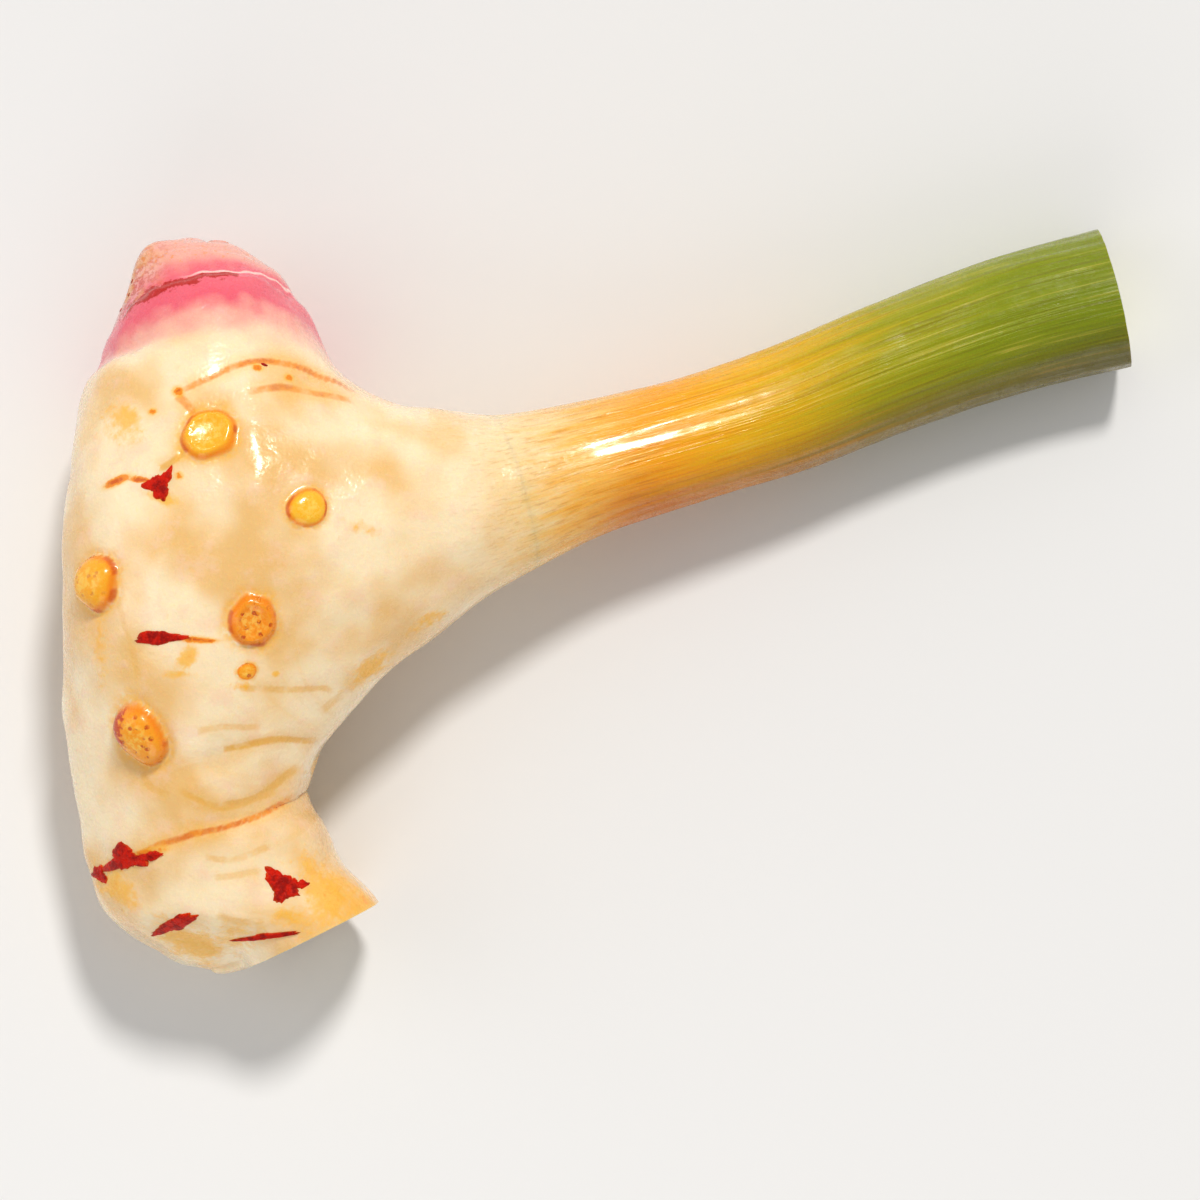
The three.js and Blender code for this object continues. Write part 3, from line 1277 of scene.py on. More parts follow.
@dataclass(frozen=True)
class SkinFinish:
    """The moist skin of the rhizome and of the stem, which runs from one to the other."""

    pale: Colour = srgb(253, 231, 194)
    warm: Colour = srgb(238, 196, 132)
    blush: Colour = srgb(247, 209, 182)
    yellow: Colour = srgb(250, 186, 44)
    orange: Colour = srgb(240, 142, 16)
    rust: Colour = srgb(196, 56, 8)
    # Tan: painted shade in the folds under the stem; also the dry husk colour at the bud's left rim.
    fold: Colour = srgb(232, 176, 72)
    deep_pink: Colour = srgb(236, 104, 122)
    light_pink: Colour = srgb(245, 174, 160)
    dark_red: Colour = srgb(190, 16, 2)
    cap: Colour = srgb(240, 174, 158)
    scar_yellow: Colour = srgb(252, 190, 48)
    scar_orange: Colour = srgb(244, 142, 24)
    scar_pale: Colour = srgb(255, 216, 110)
    roughness: tuple[float, float] = (0.17, 0.34)
    coat: tuple[float, float] = (0.35, 0.7)

    def build(self) -> bpy.types.Material:
        """Write the material.

        Returns:
            The material.
        """
        g = Graph("galangal_skin")
        at = g.attribute("skin_mm", vector=True)
        broad = g.noise(at, 0.09, 2.0)
        mid = g.noise(at, 0.32, 3.0, 0.6)
        fine = g.noise(at, 1.6, 3.0, 0.6)
        grain = g.noise(at, 5.0, 2.0, 0.6)
        body = self._flesh(g, broad, mid, fine)
        body = self._folds(g, body, mid, fine)
        colour = self._stem(g, body)
        colour = self._stains(g, colour, mid, fine)
        colour = self._nodes(g, colour, mid, fine)
        colour = self._bud(g, at, colour, mid, fine)
        colour, scar_bump = self._scars(g, at, colour, fine)
        stem_streak = g.noise(g.attribute("stem_at", vector=True), 2.6, 3.0, 0.6)
        on_stem = g.attribute("stem_mm").rise(-8.0, 18.0)
        relief = mid * 0.62 + fine * 0.09 + grain * 0.008
        relief = relief * (1.0 - on_stem * 0.8) + stem_streak * on_stem * 0.5 + scar_bump
        gloss = (fine * 0.5 + mid * 0.5).rise(0.36, 0.64)
        varied = {
            "Base Color": colour,
            "Roughness": gloss.spread(*self.roughness),
            "Coat Weight": (1.0 - gloss).spread(*self.coat),
            "Normal": g.bump(relief, 0.35),
        }
        constant = {
            "Coat Roughness": 0.12,
            "Subsurface Weight": 0.22,
            "Subsurface Radius": (1.0, 0.5, 0.22),
            "Subsurface Scale": 0.0022,
            "IOR": 1.42,
        }
        return g.finish(varied, constant)

    def _flesh(self, g: Graph, broad: Signal, mid: Signal, fine: Signal) -> Signal:
        """Mottle the cream of the rhizome.

        Args:
            g: The graph.
            broad: Broad noise.
            mid: Middling noise.
            fine: Fine noise.

        Returns:
            The colour.
        """
        colour = g.mix(broad.rise(0.38, 0.66), self.pale, self.warm)
        colour = g.mix(mid.rise(0.5, 0.72) * 0.45, colour, self.blush)
        return g.mix(fine.rise(0.56, 0.75) * 0.14, colour, self.yellow)

    def _folds(self, g: Graph, colour: Signal, mid: Signal, fine: Signal) -> Signal:
        """Paint shade into the soft folds under the stem, and a line of shade along each separate
        fold.

        Args:
            g: The graph.
            colour: The colour so far.
            mid: Middling noise.
            fine: Fine noise.

        Returns:
            The colour.
        """
        # Painted shade: a faint tan over the fan of soft folds under the stem.
        fan = g.noise(g.attribute("fold_at", vector=True), 0.9, 2.0, 0.55)
        shade = fan.rise(0.5, 0.66) * g.attribute("fold_shown")
        colour = g.mix(shade * 0.12, colour, self.fold)
        # Along each crease a soft band and a thin line: painted shade for folds, a yellow halo and an
        # orange line, rusty in places, for node lines.
        offset = g.attribute("crease_mm") + (fine - 0.5) * 0.2
        shown = g.attribute("crease_shown")
        tone = g.attribute("crease_tone")
        tint = g.mix(tone, self.fold, self.orange)
        fold_shade_and_node_halo = g.mix(tone, self.fold, self.yellow)
        shown = shown * mid.rise(0.3, 0.52).spread(0.35, 1.0)
        colour = g.mix(offset.rise(1.8, 0.1) * shown * 0.35, colour, fold_shade_and_node_halo)
        line = g.mix(mid.rise(0.5, 0.6) * tone * 0.45, tint, self.rust)
        return g.mix(offset.rise(0.55, 0.2) * shown * 0.8, colour, line)

    def _stem(self, g: Graph, body: Signal) -> Signal:
        """Run the skin from cream through orange to green along the stem, with painted shade on its -Y
        side, away from the main light.

        Args:
            g: The graph.
            body: The colour of the rhizome.

        Returns:
            The colour.
        """
        past = g.attribute("stem_mm")
        at = g.attribute("stem_at", vector=True)
        across = g.split(at)[0]
        streak = g.noise(at, 1.1, 3.0, 0.65)
        thin = g.noise(at, 3.2, 2.0, 0.6)
        shift = (streak - 0.5) * 24.0 - across * 0.5
        along = past + shift
        stops = (
            (-12.0, srgb(250, 232, 198)),
            (0.0, srgb(246, 214, 158)),
            (8.0, srgb(245, 190, 96)),
            (16.0, srgb(244, 168, 30)),
            (25.0, srgb(236, 178, 14)),
            (35.0, srgb(212, 174, 8)),
            (46.0, srgb(166, 162, 4)),
            (60.0, srgb(140, 150, 4)),
            (90.0, srgb(116, 134, 6)),
        )
        colour = g.ramp(along, -12.0, stops)
        colour = g.multiply(thin.rise(0.5, 0.72) * 0.5, colour, srgb(214, 186, 140))
        colour = g.mix(thin.rise(0.42, 0.28) * 0.25, colour, srgb(246, 220, 120))
        # Painted shade: the stem's -Y side, away from the main light, is multiplied towards brown.
        under = across.rise(-1.5, -7.5) * past.rise(2.0, 16.0)
        colour = g.multiply(under * 0.75, colour, srgb(206, 146, 74))
        edge = abs(g.attribute("sheath_edge")).rise(0.05, 0.015)
        colour = g.multiply(edge * past.rise(8.0, 30.0) * 0.7, colour, srgb(170, 140, 80))
        return g.mix(past.rise(-14.0, 6.0), body, colour)

    def _stains(self, g: Graph, colour: Signal, mid: Signal, fine: Signal) -> Signal:
        """Lay yellow and orange stains over the skin, and the painted yellow shade along the armpit
        under the stem.

        Args:
            g: The graph.
            colour: The colour so far.
            mid: Middling noise.
            fine: Fine noise.

        Returns:
            The colour.
        """
        uneven = (mid - 0.5) * 1.5 + (fine - 0.5) * 0.7
        stain_and_armpit_shade = g.attribute("stain_and_armpit_shade")
        amount = (stain_and_armpit_shade + uneven).rise(0.15, 0.75) * stain_and_armpit_shade.rise(0.02, 0.3)
        colour = g.mix(amount * 0.75, colour, self.yellow)
        deep = (stain_and_armpit_shade + uneven).rise(0.85, 1.15) * stain_and_armpit_shade.rise(0.02, 0.25)
        colour = g.mix(deep * 0.6, colour, self.orange)
        rust = g.attribute("rust")
        colour = g.mix(rust.rise(0.05, 0.5) * 0.6, colour, self.yellow)
        colour = g.mix((rust + uneven * 0.8).rise(0.4, 0.6) * 0.9, colour, self.orange)
        return g.mix((rust + uneven * 1.2).rise(0.7, 0.95) * 0.6, colour, self.rust)

    def _nodes(self, g: Graph, colour: Signal, mid: Signal, fine: Signal) -> Signal:
        """Draw the thin orange node lines, rusty in places.

        Args:
            g: The graph.
            colour: The colour so far.
            mid: Middling noise.
            fine: Fine noise.

        Returns:
            The colour.
        """
        offset = abs(g.attribute("node_mm") + (fine - 0.5) * 0.7)
        strength = g.attribute("node_strength")
        halo = offset.rise(2.0, 0.1) * strength * mid.rise(0.35, 0.6) * 0.35
        colour = g.mix(halo, colour, self.yellow)
        line = offset.rise(0.4, 0.12) * strength * mid.rise(0.25, 0.42) * 0.9
        colour = g.mix(line, colour, self.orange)
        spot = offset.rise(0.9, 0.3) * strength * fine.rise(0.62, 0.68) * 0.8
        return g.mix(spot, colour, self.rust)

    def _bud(self, g: Graph, at: Signal, colour: Signal, mid: Signal, fine: Signal) -> Signal:
        """Flush the bud pink, redden the torn edge of its scale, and run a pale line beside it, partly
        its margin and partly a painted wet highlight.

        Args:
            g: The graph.
            at: The place on the skin, in millimetres.
            colour: The colour so far.
            mid: Middling noise.
            fine: Fine noise.

        Returns:
            The colour.
        """
        past = g.attribute("bud_mm")
        soft = past + (mid - 0.5) * 2.0
        flush = g.ramp(
            soft,
            -9.0,
            (
                (-9.0, self.cap),
                (-4.0, self.cap),
                (-1.2, self.deep_pink),
                (2.9, self.deep_pink),
                (4.6, self.light_pink),
                (7.4, self.blush),
                (11.0, self.pale),
            ),
        )
        colour = g.mix(soft.rise(11.0, 5.0), colour, flush)
        side = g.split(at)[0].rise(-48.0, -56.0)
        fleck = fine.rise(0.47, 0.55) * past.rise(0.8, -1.2) * side
        colour = g.mix(fleck * 0.8, colour, self.rust)
        husk = mid.rise(0.44, 0.56) * past.rise(0.8, -1.2) * side
        colour = g.mix(husk * 0.55, colour, self.fold)
        speck = fine.rise(0.6, 0.66) * past.rise(-2.0, -4.5)
        colour = g.mix(speck * 0.6, colour, self.orange)
        torn = abs(past + (fine - 0.5) * 2.2 - 0.1).rise(0.95, 0.6)
        torn = torn * (g.attribute("bud_torn") + (mid - 0.5) * 0.6).rise(0.4, 0.55)
        colour = g.mix(torn, colour, self.dark_red)
        # A thin pale line 1 mm above the scale's edge on its right half: partly the scale's pale
        # margin, partly a painted wet highlight.
        rim = abs(past + 1.0).rise(0.3, 0.1) * g.split(at)[0].rise(-49.5, -45.5) * 0.75
        return g.mix(rim, colour, srgb(255, 226, 214))

    def _scars(self, g: Graph, at: Signal, colour: Signal, fine: Signal) -> tuple[Signal, Signal]:
        """Colour the scars of the trimmed roots, with their strands.

        Args:
            g: The graph.
            at: The place on the skin, in millimetres.
            colour: The colour so far.
            fine: Fine noise.

        Returns:
            The colour, and the height of the strands.
        """
        radius = g.attribute("scar")
        tint = g.attribute("scar_tint")
        halo = radius.rise(1.6, 1.0) * fine.rise(0.25, 0.6) * 0.65
        colour = g.mix(halo, colour, self.yellow)
        face = g.mix(tint, self.scar_yellow, self.scar_orange)
        face = g.mix(radius.rise(0.75, 0.95) * 0.8, face, self.scar_orange)
        middle = fine.rise(0.42, 0.62) * radius.rise(0.85, 0.35)
        face = g.mix(middle * 0.6, face, self.scar_pale)
        strands = g.cells(at, 1.05).rise(0.36, 0.2) * fine.rise(0.44, 0.5) * tint.rise(0.0, 0.7)
        face = g.mix(strands * radius.rise(0.85, 0.7) * 0.8, face, self.rust)
        flush = (g.attribute("scar_flush") + (fine - 0.5) * 1.8).rise(0.5, 0.85)
        face = g.mix(flush * 0.9, face, self.rust)
        inside = radius.rise(1.05, 0.93)
        colour = g.mix(inside, colour, face)
        crescent = g.noise(at, 0.42, 1.0).rise(0.48, 0.6)
        ring = abs(radius - 0.99).rise(0.12, 0.02)
        colour = g.mix(ring * 0.5, colour, self.orange)
        colour = g.mix(ring * crescent * 0.55, colour, self.rust)
        return colour, strands * inside * -0.25


@dataclass(frozen=True)
class CutFinish:
    """The fresh cut face of the foot."""

    rim: Colour = srgb(232, 160, 44)
    flesh: Colour = srgb(251, 238, 206)
    shade: Colour = srgb(240, 216, 166)
    core: Colour = srgb(246, 200, 84)
    heart: Colour = srgb(240, 168, 40)

    def build(self) -> bpy.types.Material:
        """Write the material.

        Returns:
            The material.
        """
        g = Graph("cut_flesh")
        at = g.attribute("cut_at", vector=True)
        round_it, up, radius = g.split(at)
        wobble = g.noise(at, 2.4, 3.0, 0.6)
        fine = g.noise(at, 14.0, 3.0, 0.65)
        reach = radius + (wobble - 0.5) * 0.1
        rings = g.math("SINE", reach * 52.0) * 0.5 + 0.5
        colour = g.mix(rings * 0.35 + fine.rise(0.4, 0.7) * 0.3, self.flesh, self.shade)
        colour = g.mix((reach + (fine - 0.5) * 0.12).rise(0.38, 0.3), colour, self.core)
        colour = g.mix(reach.rise(0.26, 0.05) * 0.8, colour, self.heart)
        band = abs(reach - 0.36).rise(0.035, 0.0) * 0.45
        colour = g.mix(band, colour, self.heart)
        colour = g.mix(reach.rise(0.93, 0.975), colour, self.rim)
        dots = g.cells(at, 13.0).rise(0.22, 0.1) * reach.rise(0.92, 0.8)
        colour = g.mix(dots * 0.35, colour, self.heart)
        varied = {
            "Base Color": colour,
            "Roughness": fine.spread(0.22, 0.46),
            "Coat Weight": wobble.spread(0.2, 0.6),
            "Normal": g.bump(fine * 0.5 + rings * 0.3 + dots * 0.4, 0.16),
        }
        constant = {
            "Coat Roughness": 0.15,
            "Subsurface Weight": 0.3,
            "Subsurface Radius": (1.0, 0.6, 0.25),
            "Subsurface Scale": 0.0025,
            "IOR": 1.4,
        }
        return g.finish(varied, constant)


@dataclass(frozen=True)
class SheathFinish:
    """The cut end of the stem: leaf sheaths rolled one inside another."""

    flesh: Colour = srgb(224, 222, 150)
    inner: Colour = srgb(240, 236, 190)
    edge: Colour = srgb(126, 146, 40)
    rim: Colour = srgb(96, 122, 26)

    def build(self) -> bpy.types.Material:
        """Write the material.

        Returns:
            The material.
        """
        g = Graph("cut_sheaths")
        at = g.attribute("cut_at", vector=True)
        round_it, up, radius = g.split(at)
        wobble = g.noise(at, 1.8, 2.0, 0.5)
        fine = g.noise(at, 12.0, 3.0, 0.65)
        reach = radius + (wobble - 0.5) * 0.1 + round_it * 0.03
        leaves = abs(g.math("FRACT", reach * 5.0) - 0.5)
        line = leaves.rise(0.42, 0.49) * reach.rise(0.1, 0.2)
        colour = g.mix(reach.rise(0.2, 0.95), self.inner, self.flesh)
        colour = g.mix(fine.rise(0.45, 0.7) * 0.3, colour, self.edge)
        colour = g.mix(line * 0.8, colour, self.edge)
        pores = g.cells(at, 11.0).rise(0.2, 0.1) * (1.0 - line)
        colour = g.mix(pores * 0.3, colour, self.edge)
        colour = g.mix(reach.rise(0.93, 0.98), colour, self.rim)
        varied = {
            "Base Color": colour,
            "Roughness": fine.spread(0.3, 0.5),
            "Coat Weight": wobble.spread(0.1, 0.5),
            "Normal": g.bump(fine * 0.5 - line * 0.8 - pores * 0.4, 0.2),
        }
        constant = {
            "Coat Roughness": 0.2,
            "Subsurface Weight": 0.2,
            "Subsurface Radius": (0.8, 0.8, 0.3),
            "Subsurface Scale": 0.0018,
            "IOR": 1.4,
        }
        return g.finish(varied, constant)


@dataclass(frozen=True)
class ScaleFinish:
    """The dried, dark red remains of torn scales."""

    red: Colour = srgb(214, 32, 2)
    dark: Colour = srgb(156, 14, 2)
    worn: Colour = srgb(236, 116, 22)

    def build(self) -> bpy.types.Material:
        """Write the material.

        Returns:
            The material.
        """
        g = Graph("torn_scale")
        at = g.attribute("skin_mm", vector=True)
        mid = g.noise(at, 0.9, 3.0, 0.6)
        fine = g.noise(at, 4.0, 3.0, 0.6)
        colour = g.mix(mid.rise(0.4, 0.65), self.red, self.dark)
        rim = g.attribute("rim")
        colour = g.mix((rim + (fine - 0.5) * 0.5).rise(0.8, 1.1) * 0.7, colour, self.worn)
        varied = {
            "Base Color": colour,
            "Roughness": fine.spread(0.24, 0.5),
            "Coat Weight": mid.spread(0.0, 0.12),
            "Normal": g.bump(fine + mid, 0.15),
        }
        constant = {
            "Coat Roughness": 0.15,
            "Specular IOR Level": 0.22,
            "Subsurface Weight": 0.05,
            "Subsurface Scale": 0.0008,
            "IOR": 1.45,
        }
        return g.finish(varied, constant)


@dataclass(frozen=True)
class FloorFinish:
    """The plain pale floor."""

    tone: Colour = (0.82, 0.82, 0.82)

    def build(self) -> bpy.types.Material:
        """Write the material.

        Returns:
            The material.
        """
        g = Graph("floor")
        coords = g.node("ShaderNodeTexCoord", {}, {})
        cloud = g.noise(Signal(g, coords.outputs["Object"]), 3.0, 2.0)
        colour = g.mix(cloud * 0.06, self.tone, (0.78, 0.78, 0.78))
        return g.finish({"Base Color": colour}, {"Roughness": 0.75})


# ------------------------------
# Pieces
# ------------------------------


@dataclass(frozen=True)
class Placement:
    """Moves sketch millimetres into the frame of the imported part, in metres."""

    shift: tuple[float, float, float]

    def apply(self, points: Array) -> Array:
        """Move points."""
        return (points + np.array(self.shift)) * MM


def write_attribute(mesh: bpy.types.Mesh, name: str, values: Array) -> None:
    """Store one value or one vector per vertex.

    Args:
        mesh: The mesh.
        name: The name.
        values: A number or a vector for each vertex.
    """
    if values.ndim == 1:
        layer = mesh.attributes.new(name, "FLOAT", "POINT")
        layer.data.foreach_set("value", values.astype(np.float32))
    else:
        layer = mesh.attributes.new(name, "FLOAT_VECTOR", "POINT")
        layer.data.foreach_set("vector", values.astype(np.float32).ravel())


def linked(name: str, mesh: bpy.types.Mesh) -> bpy.types.Object:
    """Put a mesh into the scene under a name.

    Args:
        name: The name.
        mesh: The mesh.

    Returns:
        The new object.
    """
    mesh.name = name
    made = bpy.data.objects.new(name, mesh)
    bpy.context.scene.collection.objects.link(made)
    return made


@dataclass(frozen=True)
class Cut:
    """A plane that trims a piece.

    Attributes:
        point: A point of the plane, in sketch millimetres.
        faces: The direction that the cut face looks in.
        rings: How many rings of faces the cut face has.
        relief: How uneven the cut face is, in millimetres.
        slot: The material slot of the cut face.
    """

    point: Array
    faces: Array
    rings: int = 14
    relief: float = 0.12
    slot: int = 1

    def apply(self, bm: bmesh.types.BMesh, place: Placement) -> None:
        """Trim a mesh and close it with a cut face.

        Args:
            bm: The mesh being cut.
            place: Where the root goes.
        """
        origin = Vector(place.apply(self.point))
        normal = Vector(self.faces).normalized()
        everything = bm.verts[:] + bm.edges[:] + bm.faces[:]
        bmesh.ops.bisect_plane(
            bm, geom=everything, plane_co=origin, plane_no=normal, clear_outer=True
        )
        loop = self._loop(bm, origin, normal)
        self._close(bm, loop, normal)

    @staticmethod
    def _loop(bm: bmesh.types.BMesh, origin: Vector, normal: Vector) -> list[bmesh.types.BMVert]:
        """Walk round the open edge that the trim left.

        Args:
            bm: The mesh being cut.
            origin: A point of the cut.
            normal: The way that the cut faces.

        Returns:
            The vertices, in order.
        """
        near = 1e-6
        edges = {e for e in bm.edges if e.is_boundary}
        edges = {e for e in edges if all(abs((v.co - origin).dot(normal)) < near for v in e.verts)}
        first = min(edges, key=lambda e: e.index)
        walk = [first.verts[0]]
        edge = first
        here = first.other_vert(walk[0])
        while here is not walk[0]:
            walk.append(here)
            edge = next(e for e in here.link_edges if e in edges and e is not edge)
            here = edge.other_vert(here)
        middle = sum((v.co for v in walk), Vector()) / len(walk)
        turned = Vector()
        for a, b in zip(walk, walk[1:] + walk[:1]):
            turned += (a.co - middle).cross(b.co - middle)
        return walk if turned.dot(normal) > 0 else walk[::-1]

    def _close(
        self, bm: bmesh.types.BMesh, loop: list[bmesh.types.BMVert], normal: Vector
    ) -> None:
        """Fill the open edge with rings that shrink to its middle.

        Args:
            bm: The mesh being cut.
            loop: The vertices round the cut.
            normal: The way that the cut faces.
        """
        layer = bm.verts.layers.float_vector["cut_at"]
        middle = sum((v.co for v in loop), Vector()) / len(loop)
        side = normal.orthogonal().normalized()
        over = normal.cross(side)
        outward = [v.co - middle for v in loop]
        reach = max(o.length for o in outward)
        for vert, away in zip(loop, outward):
            vert[layer] = (away.dot(side) / reach, away.dot(over) / reach, 1.0)
        ring = loop
        count = len(loop)
        for step in range(1, self.rings):
            share = 1.0 - step / self.rings
            inner = []
            for away in outward:
                flat = (away.dot(side) / reach * share, away.dot(over) / reach * share)
                wave = math.sin(share * 21.0 + 2.0 * flat[0]) + math.sin(7.0 * flat[0] + 5.0 * flat[1])
                lift = self.relief * MM * 0.4 * wave * min(1.0, step / 2.0)
                vert = bm.verts.new(middle + away * share + normal * lift)
                vert[layer] = (flat[0], flat[1], share)
                inner.append(vert)
            for k in range(count):
                following = (k + 1) % count
                self._face(bm, (ring[k], ring[following], inner[following], inner[k]))
            ring = inner
        heart = bm.verts.new(middle)
        heart[layer] = (0.0, 0.0, 0.0)
        for k in range(count):
            self._face(bm, (ring[k], ring[(k + 1) % count], heart))

    def _face(self, bm: bmesh.types.BMesh, verts: Sequence[bmesh.types.BMVert]) -> None:
        """Add one face of the cut.

        Args:
            bm: The mesh being cut.
            verts: The corners.
        """
        face = bm.faces.new(verts)
        face.material_index = self.slot
        face.smooth = True


@dataclass
class SkinPiece:
    """A piece cut out of the finished skin.

    Attributes:
        name: The piece's name.
        node: The CAD node that it stands for.
        slot: Its material slot in the record; not used.
        cuts: The planes that trim it.
    """

    name: str
    node: str
    slot: str
    cuts: tuple[Cut, ...]

    def build(self, whole: bpy.types.Mesh, place: Placement) -> bpy.types.Object:
        """Cut the piece out of the whole skin.

        Args:
            whole: The whole skin.
            place: Where the root goes.

        Returns:
            The piece.
        """
        bm = bmesh.new()
        bm.from_mesh(whole)
        for cut in self.cuts:
            cut.apply(bm, place)
        bmesh.ops.remove_doubles(bm, verts=bm.verts[:], dist=WELD_MM * MM)
        mesh = bpy.data.meshes.new(self.name)
        bm.to_mesh(mesh)
        bm.free()
        mesh.set_sharp_from_angle(angle=math.radians(55.0))
        return linked(self.name, mesh)

    def dress(self, made: bpy.types.Object, materials: Sequence[bpy.types.Material]) -> None:
        """Give the piece its finishes and its place in the frame.

        Args:
            made: The object.
            materials: Its finishes, in the order of the slots.
        """
        for material in materials:
            made.data.materials.append(material)
        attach(made, ROOT_BODY)
        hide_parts(self.node)
        log.info("%s: %d faces", self.name, len(made.data.polygons))


@dataclass(frozen=True)
class TornScale:
    """A shard of a torn scale that still clings to the skin.

    Attributes:
        x: Where it is, across the floor, in millimetres.
        y: Where it is, along the rhizome, in millimetres.
        length: Its length in millimetres.
        width: Its width in millimetres.
        turn: The direction of its length, in degrees from +X.
        seed: Fixes its torn outline.
        corners: How many corners it has; 2 makes a sliver.
        below: Whether it is on the underside.
    """

    x: float
    y: float
    length: float
    width: float
    turn: float
    seed: int
    corners: int = 2
    below: bool = False

    def outline(self, around: int) -> Array:
        """Draw its torn outline around its middle.

        Args:
            around: How many points it has.

        Returns:
            The points of its outline.
        """
        rng = np.random.default_rng(self.seed)
        turn = np.linspace(0, 2 * math.pi, around, endpoint=False)
        jag = 1.0 + 0.12 * np.sin(3 * turn + rng.uniform(0, 6)) + 0.1 * rng.uniform(-1, 1, around)
        jag += 0.1 * np.sin(5 * turn + rng.uniform(0, 6))
        if self.corners == 2:
            reach = np.abs(np.cos(turn)) ** 1.6 * np.sign(np.cos(turn))
            shape = np.stack([reach, np.sin(turn)], axis=1)
        else:
            wedge = math.pi / self.corners
            radius = math.cos(wedge) / np.cos(turn % (2 * wedge) - wedge)
            shape = np.stack([radius * np.cos(turn), radius * np.sin(turn)], axis=1) * 1.15
        shape *= np.array([self.length / 2, self.width / 2]) * jag[:, None]
        aim = math.radians(self.turn)
        spin = np.array([[math.cos(aim), math.sin(aim)], [-math.sin(aim), math.cos(aim)]])
        return shape @ spin


TORN_SCALES = (
    TornScale(-50.3, 13.5, 4.6, 4.0, 58, 1, corners=3),
    TornScale(-50.3, -4.1, 6.2, 1.7, 2, 2),
    TornScale(-55.0, -30.0, 4.2, 6.2, 98, 3, corners=3),
    TornScale(-51.9, -29.6, 3.8, 1.1, 10, 17),
    TornScale(-36.6, -32.8, 4.8, 2.6, -38, 4),
    TornScale(-36.0, -33.6, 3.6, 2.2, 48, 14),
    TornScale(-34.4, -33.0, 2.2, 1.0, 10, 15),
    TornScale(-49.0, -37.6, 6.4, 1.7, 24, 5),
    TornScale(-38.4, -39.0, 8.4, 0.7, 8, 6),
    TornScale(-58.2, -32.0, 3.2, 2.2, -50, 9, corners=3),
    TornScale(-53.4, -1.2, 5.0, 2.2, 60, 10, below=True),
    TornScale(-46.0, -24.0, 6.0, 2.4, 8, 11, below=True),
    TornScale(-41.0, 20.0, 4.5, 2.4, -20, 12, corners=3, below=True),
    TornScale(-55.6, 27.0, 3.8, 1.8, 30, 13, below=True),
)


